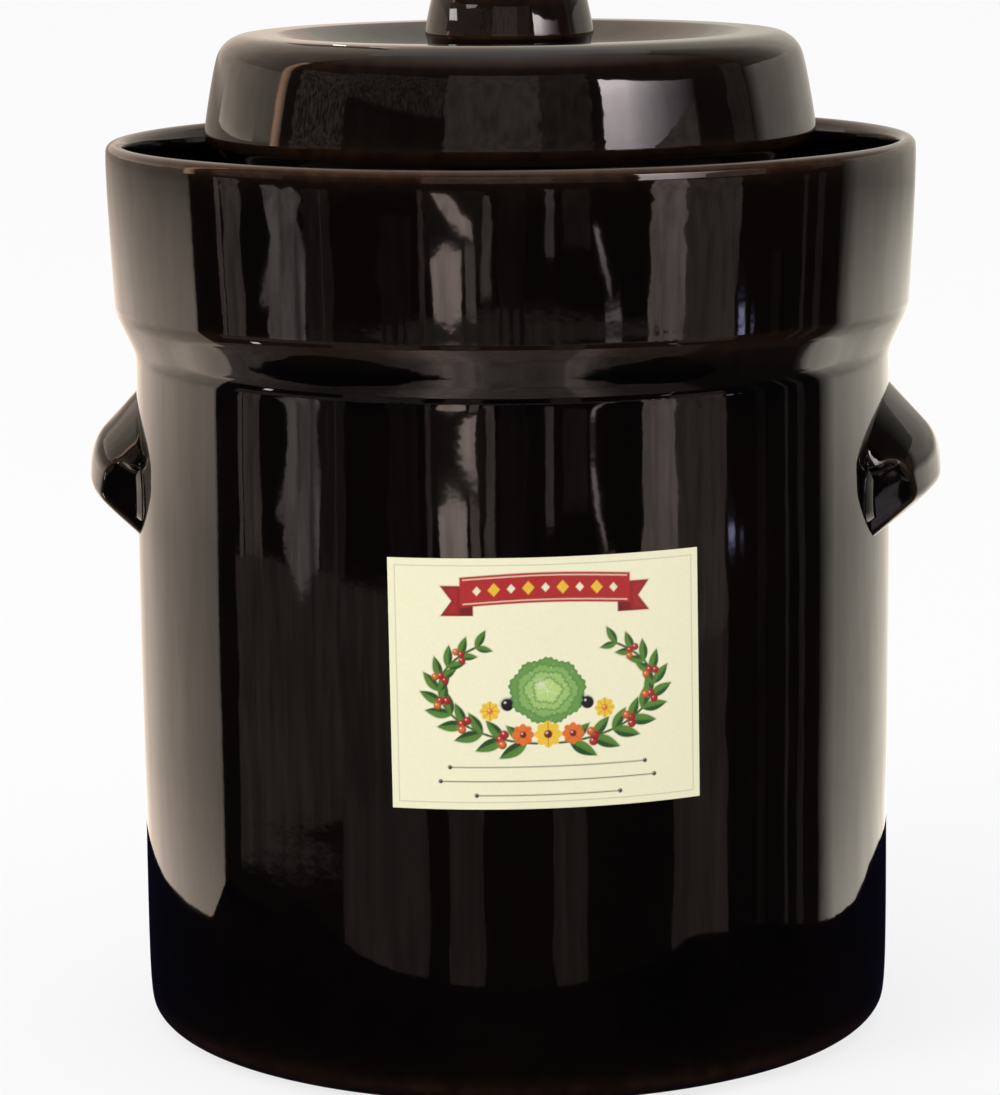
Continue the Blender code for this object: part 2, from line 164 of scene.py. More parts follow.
def smooth_outline(points):
    """The outline with every span split along a smooth curve, except round sharp corners."""
    sharp = {0, len(points) - 1}
    for index in range(1, len(points) - 1):
        into = points[index] - points[index - 1]
        out = points[index + 1] - points[index]
        if into.angle(out) > CORNER_ANGLE:
            sharp.add(index)
    fine = []
    for index in range(len(points) - 1):
        start, end = points[index], points[index + 1]
        before = 2 * start - end if index in sharp else points[index - 1]
        after = 2 * end - start if index + 1 in sharp else points[index + 2]
        steps = max(FEWEST_STEPS, math.ceil((end - start).length / LONG_STEP))
        fine += [on_curve(before, start, end, after, step / steps) for step in range(steps)]
    fine.append(points[-1])
    heights = [point.y for point in points]
    for point in fine:
        point.x = max(point.x, 0.0)
        point.y = min(max(point.y, min(heights)), max(heights))
    return fine


crock_points = smooth_outline(seam_outline("crock_body"))
print("outline points of the crock:", len(crock_points))

# %% [markdown]
# ## Turning an outline
#
# The Screw modifier does what the wheel does. Its result is applied, because the next steps
# need the finished vertices. A hand-thrown wall is never perfectly round: it wanders by up to
# a tenth of a millimetre, which is too little to see in the outline and just enough to make
# the edges of the mirrored surroundings waver. Blender's noise gives that movement.

# %% Turn and settle a piece
TURN_STEPS = 192
WANDER = 0.00005
WANDER_SIZE = 0.035
MERGE_WITHIN = 0.00001


def finished(obj):
    """Replaces an object's mesh with what its modifiers make, and removes them."""
    graph = bpy.context.evaluated_depsgraph_get()
    mesh = bpy.data.meshes.new_from_object(obj.evaluated_get(graph))
    old = obj.data
    obj.modifiers.clear()
    obj.data = mesh
    mesh.name = obj.name
    bpy.data.meshes.remove(old)
    return obj


def turned(name, outline, steps=TURN_STEPS):
    """A mesh object turned about Z from an outline that runs down its outer side."""
    mesh = bpy.data.meshes.new(name)
    edges = [(index, index + 1) for index in range(len(outline) - 1)]
    mesh.from_pydata([(r, 0.0, z) for r, z in outline], edges, [])
    obj = in_scene(name, mesh)
    wheel = obj.modifiers.new("Wheel", "SCREW")
    wheel.steps = steps
    wheel.render_steps = steps
    wheel.use_merge_vertices = True
    wheel.merge_threshold = MERGE_WITHIN
    wheel.use_smooth_shade = True
    return finished(obj)


def let_wander(obj, amount=WANDER, size=WANDER_SIZE):
    """Moves each vertex inward by a smooth noise, as a thrown surface wanders."""
    for vertex in obj.data.vertices:
        radius = math.hypot(vertex.co.x, vertex.co.y)
        if radius > size:
            push = 1.0 - amount * (1.0 + noise.noise(vertex.co / size)) / radius
            vertex.co.x *= push
            vertex.co.y *= push


print("places round each turned piece:", TURN_STEPS)

# %% [markdown]
# ## Where the glaze is thin
#
# Molten glaze runs off every edge that points outward, and the clay's brown shows through. So
# the finish has to know how sharply each place turns. For two neighbouring vertices, that is
# how far their normals open, divided by their distance. The average over a vertex's edges,
# softened over its neighbours, goes into an attribute that the material reads.

# %% Measure how sharply a surface turns outward
SHARPEST = 260.0
SMALLEST_AREA = 1e-12


def read_values(items, key, width=1, kind=np.float32):
    """The values of all items as an array with one column for each value of an item."""
    values = np.empty(len(items) * width, kind)
    items.foreach_get(key, values)
    return values.reshape(-1, width)


def mark_thin_glaze(obj, softening=4, sharpest=SHARPEST):
    """Writes how sharply each vertex turns outward, from 0 to 1. Returns the mean of it."""
    mesh = obj.data
    count = len(mesh.vertices)
    place = read_values(mesh.vertices, "co", 3)
    normal = read_values(mesh.vertex_normals, "vector", 3)
    one, other = read_values(mesh.edges, "vertices", 2, np.int32).T
    apart = place[other] - place[one]
    opening = ((normal[other] - normal[one]) * apart).sum(1)
    bend = opening / np.maximum((apart**2).sum(1), SMALLEST_AREA)
    near = np.bincount(one, minlength=count) + np.bincount(other, minlength=count)
    near = np.maximum(near, 1)
    turn = np.bincount(one, bend, count) + np.bincount(other, bend, count)
    turn = turn / near
    for _ in range(softening):
        around = np.bincount(one, turn[other], count) + np.bincount(other, turn[one], count)
        turn = 0.5 * turn + 0.5 * around / near
    thin = np.clip(turn / sharpest, 0.0, 1.0).astype(np.float32)
    mesh.attributes.new("thin_glaze", "FLOAT", "POINT").data.foreach_set("value", thin)
    return float(thin.mean())


print("the glaze is thinnest from this radius in mm down:", round(1000 / SHARPEST, 1))

# %% [markdown]
# ## Helpers for materials
#
# A material in Blender is a tree of nodes. The trees below are built from a few kinds of node
# again and again: a noise that lives in the object's own space, a ramp that stretches it, a mix
# of two colours and a bump. So each kind gets a short function.

# %% Short functions for nodes
def new_material(name):
    material = bpy.data.materials.new(name)
    material.use_nodes = True
    tree = material.node_tree
    return material, tree, tree.nodes["Principled BSDF"]


def add_node(tree, kind, **settings):
    """A new node with its settings, and with values for the sockets named in them."""
    made = tree.nodes.new(kind)
    for key, value in settings.items():
        if hasattr(made, key):
            setattr(made, key, value)
        else:
            made.inputs[key.replace("_", " ")].default_value = value
    return made


def join(tree, source, output, target, entry):
    """Links an output of one node to an input of another. Both go by name or number."""
    tree.links.new(source.outputs[output], target.inputs[entry])


def object_noise(tree, scale, detail=2.0, roughness=0.5):
    """Noise in the object's own space, so that its size is in metres."""
    where = add_node(tree, "ShaderNodeTexCoord")
    cloud = add_node(
        tree, "ShaderNodeTexNoise", Scale=scale, Detail=detail, Roughness=roughness
    )
    join(tree, where, "Object", cloud, "Vector")
    return cloud


def ramp(tree, low, high, low_value=0.0, high_value=1.0):
    """Stretches a value between low and high to the range that is wanted."""
    return add_node(
        tree,
        "ShaderNodeMapRange",
        From_Min=low,
        From_Max=high,
        To_Min=low_value,
        To_Max=high_value,
    )


def noise_ramp(tree, cloud, *limits):
    """Stretches the first output of a node, as ramp does."""
    stretched = ramp(tree, *limits)
    join(tree, cloud, 0, stretched, "Value")
    return stretched


def add_relief(tree, height, shader, strength, distance):
    """A bump on the shader. The distance is the height of the relief in metres."""
    relief = add_node(tree, "ShaderNodeBump", Strength=strength, Distance=distance)
    join(tree, height, 0, relief, "Height")
    join(tree, relief, "Normal", shader, "Normal")


def colour_mix(tree, first, second):
    """A colour mix node with both colours set. Its factor is input 0."""
    blend = add_node(tree, "ShaderNodeMix", data_type="RGBA")
    blend.inputs[6].default_value = (*first, 1.0)
    blend.inputs[7].default_value = (*second, 1.0)
    return blend


node_helpers = (add_node, join, object_noise, ramp, noise_ramp, add_relief, colour_mix)
print("ready:", ", ".join(helper.__name__ for helper in node_helpers))

# %% [markdown]
# ## The glaze
#
# The glaze is an iron-rich brown that looks black where it lies thick, and it shines like
# glass. A Principled shader with an index of refraction of 1.5 gives the right mirror image: weak
# when seen straight on, strong at the pot's sides. Its colour is mixed by cloudy noise and goes
# to amber where the glaze is thin. A very shallow bump stands for the surface of a glass that
# ran and froze. Noise scales are counts per metre: 26 gives clouds about four centimetres wide.

# %% Build the glaze material
GLAZE_THICK = (0.0006, 0.0005, 0.0006)
GLAZE_CLOUD = (0.0016, 0.0010, 0.0009)
GLAZE_AMBER = (0.060, 0.026, 0.012)
GLAZE_IOR = 1.5
GLAZE_ROUGHNESS = 0.03


def glaze_material(name, thin_tint=GLAZE_AMBER):
    material, tree, shader = new_material(name)
    shader.inputs["IOR"].default_value = GLAZE_IOR
    # Brown clouds in the thick glaze
    clouds = object_noise(tree, 26.0, 4.0, 0.6)
    spread = noise_ramp(tree, clouds, 0.42, 0.68)
    body = colour_mix(tree, GLAZE_THICK, GLAZE_CLOUD)
    join(tree, spread, 0, body, 0)

    # Amber where it is thin, in streaks
    thin = add_node(tree, "ShaderNodeAttribute", attribute_name="thin_glaze")
    streaks = object_noise(tree, 180.0, 3.0)
    uneven = noise_ramp(tree, streaks, 0.25, 0.75, 0.35, 1.0)
    share = add_node(tree, "ShaderNodeMath", operation="MULTIPLY")
    join(tree, thin, "Fac", share, 0)
    join(tree, uneven, 0, share, 1)
    amber = colour_mix(tree, GLAZE_THICK, thin_tint)
    join(tree, share, 0, amber, 0)
    join(tree, body, 2, amber, 6)
    join(tree, amber, 2, shader, "Base Color")

    # A gloss that varies a little, and a frozen ripple
    haze = object_noise(tree, 60.0, 3.0)
    gloss = noise_ramp(tree, haze, 0.35, 0.75, GLAZE_ROUGHNESS, GLAZE_ROUGHNESS * 1.8)
    join(tree, gloss, 0, shader, "Roughness")
    ripple = object_noise(tree, 160.0, 2.0)
    add_relief(tree, ripple, shader, 1.0, 0.000012)
    return material


body_glaze = glaze_material("body_glaze")
print("glaze nodes:", len(body_glaze.node_tree.nodes))

# %% [markdown]
# ## Bare stoneware
#
# The foot ring stands on the kiln shelf and the weighting stones lie in brine, so neither is
# glazed. Bare stoneware is a warm buff, matt, with iron specks and a fine sandy skin. The specks
# come from a Voronoi texture, of which only the cell centres are kept.

# %% Build the stoneware material
CLAY_LIGHT = (0.56, 0.47, 0.36)
CLAY_DARK = (0.42, 0.33, 0.24)
CLAY_SPECK = (0.12, 0.075, 0.05)


def clay_material(name):
    material, tree, shader = new_material(name)
    shader.inputs["IOR"].default_value = GLAZE_IOR
    fired = object_noise(tree, 32.0, 5.0, 0.65)
    spread = noise_ramp(tree, fired, 0.35, 0.70)
    body = colour_mix(tree, CLAY_LIGHT, CLAY_DARK)
    join(tree, spread, 0, body, 0)

    # Iron specks at the centres of cells
    where = add_node(tree, "ShaderNodeTexCoord")
    cells = add_node(tree, "ShaderNodeTexVoronoi", Scale=420.0)
    join(tree, where, "Object", cells, "Vector")
    speck = noise_ramp(tree, cells, 0.10, 0.22, 0.8, 0.0)
    iron = colour_mix(tree, CLAY_LIGHT, CLAY_SPECK)
    join(tree, speck, 0, iron, 0)
    join(tree, body, 2, iron, 6)
    join(tree, iron, 2, shader, "Base Color")

    # A dry, sandy skin
    dry = noise_ramp(tree, fired, 0.3, 0.7, 0.78, 0.92)
    join(tree, dry, 0, shader, "Roughness")
    sand = object_noise(tree, 1500.0, 4.0, 0.7)
    add_relief(tree, sand, shader, 0.6, 0.0002)
    return material


stoneware = clay_material("stoneware")
print("stoneware nodes:", len(stoneware.node_tree.nodes))

# %% [markdown]
# ## The pot
#
# The pot is one thrown piece: foot ring, wall, shoulder, the collar with its water trough, and
# the neck in the middle. It takes the smoothed outline. The ring that it stands on is wiped
# clean before firing, so those faces get the bare stoneware as a second material.

# %% Make the pot
FOOT_WIPED_HEIGHT = 0.0012
FOOT_RECESS_HEIGHT = 0.0040


def make_pot():
    pot = turned("pot", crock_points)
    let_wander(pot)
    mesh = pot.data
    mesh.materials.append(body_glaze)
    mesh.materials.append(stoneware)
    ring_inner = min(r for r, z in crock_points if z < FOOT_WIPED_HEIGHT)
    for face in mesh.polygons:
        r = math.hypot(face.center.x, face.center.y)
        wiped = face.center.z < FOOT_WIPED_HEIGHT
        under = face.center.z < FOOT_RECESS_HEIGHT and r < ring_inner
        face.material_index = 1 if wiped or under else 0
    print("thin share of the pot:", round(mark_thin_glaze(pot), 3))
    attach(pot, "crock")
    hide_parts("crock_body")
    return pot


pot = make_pot()

# %% [markdown]
# ## The lid and its knob
#
# The lid is thrown upside down: a skirt that stands in the water, a bead, a rounded crown and a
# dished top. Two half-round notches in the skirt's foot let gas bubble out. They are cut with a
# Boolean, as a potter cuts them with a wire loop. The knob is thrown by itself and stuck on with
# slip, so it is a piece of its own that rides on the same body.

# %% Make the lid and the knob
GAS_NOTCH_R = 0.0070
NOTCH_SIDES = 48
KNOB_STEPS = 128


def object_from(form, name):
    """An object made from a form, with its faces turned to look outward."""
    bmesh.ops.recalc_face_normals(form, faces=form.faces)
    mesh = bpy.data.meshes.new(name)
    form.to_mesh(mesh)
    form.free()
    return in_scene(name, mesh)


def without(obj, *tools):
    """Cuts tools out of an object. The tools stay, so that others can be cut with them."""
    for tool in tools:
        cutting = obj.modifiers.new("Cut", "BOOLEAN")
        cutting.operation = "DIFFERENCE"
        cutting.solver = "EXACT"
        cutting.object = tool


def gas_notch(height, reach):
    """A round bar along X that cuts both notches at once."""
    form = bmesh.new()
    bmesh.ops.create_cone(
        form,
        cap_ends=True,
        segments=NOTCH_SIDES,
        radius1=GAS_NOTCH_R,
        radius2=GAS_NOTCH_R,
        depth=2 * reach,
        matrix=Matrix.Translation((0, 0, height)) @ Matrix.Rotation(math.pi / 2, 4, "Y"),
    )
    return object_from(form, "notch_bar")


def make_lid():
    low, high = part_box("lid")
    lid = turned("cover", smooth_outline(seam_outline("lid")))
    let_wander(lid)
    bar = gas_notch(low.z, high.x + GAS_NOTCH_R)
    without(lid, bar)
    finished(lid)
    bpy.data.objects.remove(bar)
    lid.data.materials.append(glaze_material("lid_glaze"))
    mark_thin_glaze(lid)
    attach(lid, "lid")
    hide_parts("lid")
    return lid


def make_knob():
    knob = turned("knob", smooth_outline(seam_outline("lid_knob")), KNOB_STEPS)
    knob.data.materials.append(glaze_material("knob_glaze"))
    mark_thin_glaze(knob)
    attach(knob, "lid")
    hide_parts("lid_knob")
    return knob


lid = make_lid()
knob = make_knob()
print("faces of the lid:", len(lid.data.polygons))

# %% [markdown]
# ## The ear handles
#
# Each handle is an ear of clay pressed over the thumb: a hood that swells out from the wall, is
# hollow underneath for the fingers, and is trimmed at both ends with a slanting cut. It is bedded
# on a thin pad of clay. The hood is a loft through sections that stand round the pot like
# spokes. Booleans then trim its ends and open the hollow.

# %% Sizes of a handle
HANDLE_REACH = 0.0170
HANDLE_HEIGHT = 0.0472
HANDLE_WIDTH = 0.0795
BROW_HEIGHT = 0.0300
BROW_REACH = 0.0162
BROW_ROUND = 0.0200
LIP_ROUND = 0.0065
SHELL = 0.0048
END_WALL = 0.0085
MOUTH_DROP = 0.0100
END_HEIGHT = 0.55
FOOT_RISE = 0.0045
HOOD_SWEEP = math.radians(164)
FACET_START = 0.0352
FACET_END = 0.0258
FACET_END_REACH = 0.0132
FACET_TILT = math.radians(8)
FACET_PIVOT = 0.0120
PAD_WIDTH = 0.0840
PAD_THICKNESS = 0.0014
PAD_BELOW_TOP = 0.0060
PAD_WIDEST = 0.0152
PAD_ABOVE_FOOT = 0.0075
PAD_CORNER = 0.0110
PAD_SUNK = 0.0012
HOOD_SUNK = 0.0030
PAD_EDGE = (
    (0.00, 0.00), (0.02, 0.10), (0.05, 0.16), (0.09, 0.20), (0.15, 0.255), (0.50, 0.56),
    (0.85, 0.87), (0.93, 0.93), (1.00, 0.97), (1.10, 0.995), (1.25, 1.00), (2.0, 1.00),
)
FACET_ARCH_MM = (
    (-10, -30), (30, -30), (30, 8), (14.5, 15), (12.5, 20), (9.5, 24.5), (6, 27), (2.5, 26.5),
    (0, 25), (-10, 24),
)
STATIONS = 56
ARC_STEPS = 14
FOOT_RING_R = 0.115
MM = 0.001


def outside_wall():
    """Radii and heights of the pot's outside, from its foot up to its rim."""
    wall = []
    for r, z in crock_points[::-1]:
        if wall and z < wall[-1][1]:
            break
        if r > FOOT_RING_R and (not wall or z > wall[-1][1]):
            wall.append((r, z))
    return np.array(wall).T


WALL_RADII, WALL_HEIGHTS = outside_wall()


def wall_radius(height):
    return np.interp(height, WALL_HEIGHTS, WALL_RADII)


handle_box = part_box("handle_right")
HANDLE_TOP = handle_box[1].z
HANDLE_FOOT = HANDLE_TOP - HANDLE_HEIGHT
WALL_R = float(wall_radius(HANDLE_FOOT))
print("wall radius at the handles in mm:", round(1000 * WALL_R, 2))

# %% [markdown]
# A section of the hood is a closed outline with rounded corners. The hood joins many of them,
# and they get smaller towards both ends, as the ear does. The same loft with smaller sizes is
# the hollow. Two arched blocks cut the ends off, at a slant and leaning a little.

# %% Shape the hood and its trimmed ends
def filleted(corners):
    """Points of an outline with corners (r, z, fillet); an arc replaces each rounded corner."""
    points = []
    for index, (r, z, fillet) in enumerate(corners):
        here = Vector((r, z))
        if not fillet:
            points.append(here)
            continue
        before = Vector(corners[index - 1][:2]) - here
        after = Vector(corners[(index + 1) % len(corners)][:2]) - here
        half_turn = (math.pi - before.angle(after)) / 2
        reach = min(fillet * math.tan(half_turn), before.length / 2, after.length / 2)
        start = here + before.normalized() * reach
        end = here + after.normalized() * reach
        for step in range(ARC_STEPS + 1):
            share = step / ARC_STEPS
            weight = math.cos(half_turn) * 2 * share * (1 - share)
            total = (1 - share) ** 2 + weight + share**2
            points.append(((1 - share) ** 2 * start + weight * here + share**2 * end) / total)
    return points


def join_rings(form, rings):
    """Faces between each ring of vertices and the one that follows it."""
    for ring, following in zip(rings, rings[1:]):
        for index in range(len(ring)):
            after = (index + 1) % len(ring)
            form.faces.new((ring[index], ring[after], following[after], following[index]))


def hood_section(share, height_share, shell, drop):
    """One upright section of the hood, from the wall over the brow and lip and back to it."""
    foot = HANDLE_FOOT + FOOT_RISE * (1 - share) - drop
    top = HANDLE_FOOT + (HANDLE_HEIGHT - 2 * shell) * height_share
    brow = HANDLE_FOOT + BROW_HEIGHT * height_share - shell
    lip = HANDLE_REACH * share - shell
    brow_r = WALL_R + BROW_REACH * share - shell
    return filleted(
        [
            (WALL_R - HANDLE_REACH, top + HANDLE_REACH, 0.0),
            (WALL_R, top, 0.0),
            (brow_r, brow, BROW_ROUND * share),
            (WALL_R + lip, foot + lip, LIP_ROUND * share),
            (WALL_R - HANDLE_REACH, foot - HANDLE_REACH, 0.0),
        ]
    )


def hood(name, width, shell=0.0, drop=0.0):
    """The hood's loft. Its reach falls off as an ellipse towards both ends."""
    half_angle = width / 2 / WALL_R
    form = bmesh.new()
    rings = []
    for station in range(STATIONS + 1):
        swing = HOOD_SWEEP * (station / STATIONS - 0.5)
        share = math.cos(swing)
        section = hood_section(share, END_HEIGHT + (1 - END_HEIGHT) * share, shell, drop)
        angle = half_angle * math.sin(swing)
        cos, sin = math.cos(angle), math.sin(angle)
        rings.append([form.verts.new((r * cos, r * sin, z)) for r, z in section])
    join_rings(form, rings)
    form.faces.new(rings[0])
    form.faces.new(rings[-1])
    return object_from(form, name)


def prism(name, places, shift):
    """A closed body between a flat outline and the same outline moved by a shift."""
    form = bmesh.new()
    moved = [Vector(place) + shift for place in places]
    rings = [[form.verts.new(place) for place in outline] for outline in (places, moved)]
    join_rings(form, rings)
    for ring in rings:
        form.faces.new(ring)
    return object_from(form, name)


def end_block(side):
    """An arched block that trims one end of the hood to a slanting flat."""
    start_angle, end_angle = FACET_START / WALL_R, FACET_END / WALL_R
    start_r, end_r = WALL_R + PAD_THICKNESS, WALL_R + FACET_END_REACH
    start = Vector((start_r * math.cos(start_angle), start_r * math.sin(start_angle), 0))
    end = Vector((end_r * math.cos(end_angle), end_r * math.sin(end_angle), 0))
    along = (end - start).normalized()
    outward = Vector((-along.y, along.x, 0))
    if outward.y < 0:
        outward = -outward
    away = outward * math.cos(FACET_TILT) - Vector((0, 0, math.sin(FACET_TILT)))
    up = along.cross(away)
    low = start + Vector((0, 0, HANDLE_FOOT + FACET_PIVOT)) - up * FACET_PIVOT
    mirror = Vector((1, side, 1))
    arch = []
    for across, height in FACET_ARCH_MM:
        arch.append((low + along * across * MM + up * height * MM) * mirror)
    return prism(f"end_block_{side}", arch, HANDLE_WIDTH * away * mirror)


print("reach of a handle in mm:", round(1000 * HANDLE_REACH, 1))

# %% [markdown]
# The pad is a thin arched sheet of clay that follows the wall. It is built from rings which run
# inward from its outline. Each ring has its own height above the wall, so the pad's edge slopes
# as clay does where a thumb has smeared it down.

# %% Shape the pad
def pad_outline():
    """The pad's arched outline, as places along the wall and heights."""
    half = PAD_WIDTH / 2
    widest = HANDLE_FOOT + PAD_WIDEST
    rise = HANDLE_TOP - PAD_BELOW_TOP - widest
    angles = np.linspace(0.0, math.pi, 6 * ARC_STEPS + 1)
    arch = [Vector((half * math.cos(a), widest + rise * math.sin(a))) for a in angles]
    foot = HANDLE_FOOT + PAD_ABOVE_FOOT
    corners = [(-half, widest, 0), (-half, foot, PAD_CORNER), (half, foot, PAD_CORNER)]
    return arch + filleted(corners + [(half, widest, 0)])[1:-1]


def bed_pad(slope_width):
    """The thin pad: rings that run in from its outline and follow the wall's own curve.

    The first ring is sunk in the wall. The next ones rise to the pad's full thickness over
    the width of its sloping edge.
    """
    outline = pad_outline()
    middle = Vector((0.0, HANDLE_FOOT + PAD_WIDEST))
    rings = [(0.0, -PAD_SUNK)]
    rings += [(inset * slope_width, lift * PAD_THICKNESS) for inset, lift in PAD_EDGE]
    form = bmesh.new()
    loops = []
    for inset, lift in rings:
        loop = []
        for point in outline:
            arm = point - middle
            across, z = middle + arm * (1 - inset / arm.length)
            radius = float(wall_radius(z)) + lift
            angle = across / WALL_R
            loop.append(form.verts.new((radius * math.cos(angle), radius * math.sin(angle), z)))
        loops.append(loop)
    join_rings(form, loops)
    for loop in (loops[0], loops[-1]):
        edges = [edge for edge in form.edges if set(edge.verts) <= set(loop)]
        bmesh.ops.triangle_fill(form, use_beauty=True, edges=edges)
    return object_from(form, "bed_pad")


print("places along the pad's outline:", len(pad_outline()))

# %% [markdown]
# Glaze rounds every edge of the raw clay. To get that look, the trimmed hood is rebuilt from
# small cubes with the Remesh modifier and then smoothed. That also gives it an even mesh, on
# which reflections run without kinks. The pad is too thin for that and has its rounding already.
# Both are sunk a little into the wall, so that no gap opens where they are stuck together.

# %% Make both handles
HANDLE_VOXEL = 0.0006
HANDLE_SMOOTHING = 16
HANDLE_SHARPEST = 900.0
GLAZE_GATHERS = 0.0025
HAND_UNEVEN = 0.00013
HAND_SIZE = 0.0105
GLAZE_TAN = (0.110, 0.062, 0.030)
RIGHT_PAD_SLOPE = 0.0046
LEFT_PAD_SLOPE = 0.0033


def even_mesh(obj, cube, rounds):
    """Rebuilds a form from small cubes and smooths it a number of times."""
    cubes = obj.modifiers.new("Even mesh", "REMESH")
    cubes.mode = "VOXEL"
    cubes.voxel_size = cube
    cubes.use_smooth_shade = True
    soft = obj.modifiers.new("Soft edges", "SMOOTH")
    soft.factor = 0.5
    soft.iterations = rounds
    return finished(obj)


def press_by_hand(form):
    """Moves the surface in by a smooth noise, as fingers leave it."""
    inward = [-vertex.normal for vertex in form.data.vertices]
    for vertex, direction in zip(form.data.vertices, inward):
        vertex.co += direction * HAND_UNEVEN * (1.0 + noise.noise(vertex.co / HAND_SIZE))


def make_handle_form(slope_width):
    form = hood("handle_form", HANDLE_WIDTH)
    pad = bed_pad(slope_width)
    hollow = hood("hollow", HANDLE_WIDTH - 2 * END_WALL, SHELL, MOUTH_DROP)
    wall = turned("wall_core", wall_core_outline())
    ends = [end_block(1), end_block(-1)]
    without(form, *ends, hollow, wall)
    even_mesh(form, HANDLE_VOXEL, HANDLE_SMOOTHING)
    press_by_hand(form)
    without(pad, hollow)
    finished(pad)
    pad.data.shade_smooth()
    pad.data.set_sharp_from_angle(angle=CORNER_ANGLE)
    both = bmesh.new()
    both.from_mesh(form.data)
    both.from_mesh(pad.data)
    both.to_mesh(form.data)
    both.free()
    for tool in (pad, hollow, wall, *ends):
        bpy.data.objects.remove(tool)
    return form


def wall_core_outline():
    """The pot's outside, moved inward by the depth to which a handle is sunk."""
    wall = [Vector((r - HOOD_SUNK, z)) for r, z in zip(WALL_RADII[::-1], WALL_HEIGHTS[::-1])]
    return [Vector((0, wall[0].y))] + wall + [Vector((0, wall[-1].y))]


def clear_by_the_wall(handle):
    """Takes the thin marks away near the wall, where glaze gathers and doesn't run off."""
    mesh = handle.data
    x, y, z = read_values(mesh.vertices, "co", 3).T
    lift = np.hypot(x, y) - wall_radius(z)
    share = np.clip(lift / GLAZE_GATHERS - 1.0, 0.0, 1.0)
    marks = mesh.attributes["thin_glaze"].data
    thin = read_values(marks, "value").ravel()
    marks.foreach_set("value", (thin * share).astype(np.float32))


def make_handle(name, node, slope_width, turn):
    handle = make_handle_form(slope_width)
    handle.name = name
    handle.data.name = name
    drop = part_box(node)[1].z - HANDLE_TOP
    place = Matrix.Translation((0, 0, drop)) @ Matrix.Rotation(turn, 4, "Z")
    handle.data.transform(place)
    handle.data.materials.append(handle_glaze)
    mark_thin_glaze(handle, 3, HANDLE_SHARPEST)
    clear_by_the_wall(handle)
    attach(handle, "crock")
    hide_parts(node)
    return handle


handle_glaze = glaze_material("handle_glaze", GLAZE_TAN)
ears = [
    make_handle("ear_right", "handle_right", RIGHT_PAD_SLOPE, 0.0),
    make_handle("ear_left", "handle_left", LEFT_PAD_SLOPE, math.pi),
]
print("faces of a handle:", len(ears[0].data.polygons))

# %% [markdown]
# ## The weighting stones
#
# Two half discs of bare stoneware keep the vegetables under the brine. A notch in each straight
# edge makes a finger hole. They are cut from a rolled slab, so the outline is extruded, its
# edges are rounded, and a little noise takes away the look of a machined part.

# %% Make the stones
STONE_NOTCH_R = 0.0120
STONE_SPLIT = 0.0012
STONE_ROUND = 0.0030
STONE_STEPS = 120
STONE_VOXEL = 0.0012
STONE_SMOOTHING = 3
STONE_UNEVEN = 0.00018


def stone_outline(radius):
    edge = STONE_SPLIT / 2
    reach = math.acos(edge / radius)
    outline = []
    for step in range(STONE_STEPS + 1):
        angle = reach * (2 * step / STONE_STEPS - 1)
        outline.append((radius * math.cos(angle), radius * math.sin(angle)))
    notch_steps = STONE_STEPS // 4
    for step in range(notch_steps + 1):
        angle = math.pi / 2 - math.pi * step / notch_steps
        outline.append((edge + STONE_NOTCH_R * math.cos(angle), STONE_NOTCH_R * math.sin(angle)))
    return outline


def make_stone(name, node, turn):
    low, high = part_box(node)
    outline = [(x, y, low.z) for x, y in stone_outline(high.y)]
    stone = prism(name, outline, Vector((0, 0, high.z - low.z)))
    worn = stone.modifiers.new("Worn edge", "BEVEL")
    worn.width = STONE_ROUND
    worn.segments = 4
    worn.limit_method = "ANGLE"
    worn.angle_limit = CORNER_ANGLE
    even_mesh(stone, STONE_VOXEL, STONE_SMOOTHING)
    inward = [-vertex.normal for vertex in stone.data.vertices]
    for vertex, direction in zip(stone.data.vertices, inward):
        sink = STONE_UNEVEN * (1 + noise.fractal(vertex.co * 160.0, 1.0, 2.0, 3)) / 2
        vertex.co += direction * sink
    stone.data.transform(Matrix.Rotation(turn, 4, "Z"))
    stone.data.materials.append(stoneware)
    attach(stone, node)
    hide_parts(node)
    return stone


stones = [
    make_stone("stone_right", "weight_right", 0.0),
    make_stone("stone_left", "weight_left", math.pi),
]
print("stone thickness in mm:", round(1000 * stones[0].dimensions.z, 1))

# %% [markdown]
# ## The label's sheet
#
# The label is a sheet of coated paper glued to the front of the pot, a little askew. The sheet is
# a fine grid that follows the wall, with a rim and a back, so that it is a closed thin body. Its
# vertices lie a quarter of a millimetre apart, because they carry the printed colours.

# %% Lay the paper on the wall
LABEL_WIDTH = 96.6
LABEL_HEIGHT = 77.4
LABEL_DOT = 0.25
LABEL_CENTRE_HEIGHT = 0.1344
LABEL_TURN = math.radians(10.5)
LABEL_TILT = math.radians(0.6)
PAPER_LIFT = 0.0005

columns = round(LABEL_WIDTH / LABEL_DOT)
rows = round(LABEL_HEIGHT / LABEL_DOT)
u_line = np.linspace(-LABEL_WIDTH / 2, LABEL_WIDTH / 2, columns + 1)
v_line = np.linspace(-LABEL_HEIGHT / 2, LABEL_HEIGHT / 2, rows + 1)
U, V = np.meshgrid(u_line, v_line)


def grid_faces(rows, columns):
    """The faces of a grid, whose points are counted along one row after another."""
    wide = columns + 1
    corners = [row * wide + column for row in range(rows) for column in range(columns)]
    return [(at, at + 1, at + wide + 1, at + wide) for at in corners]


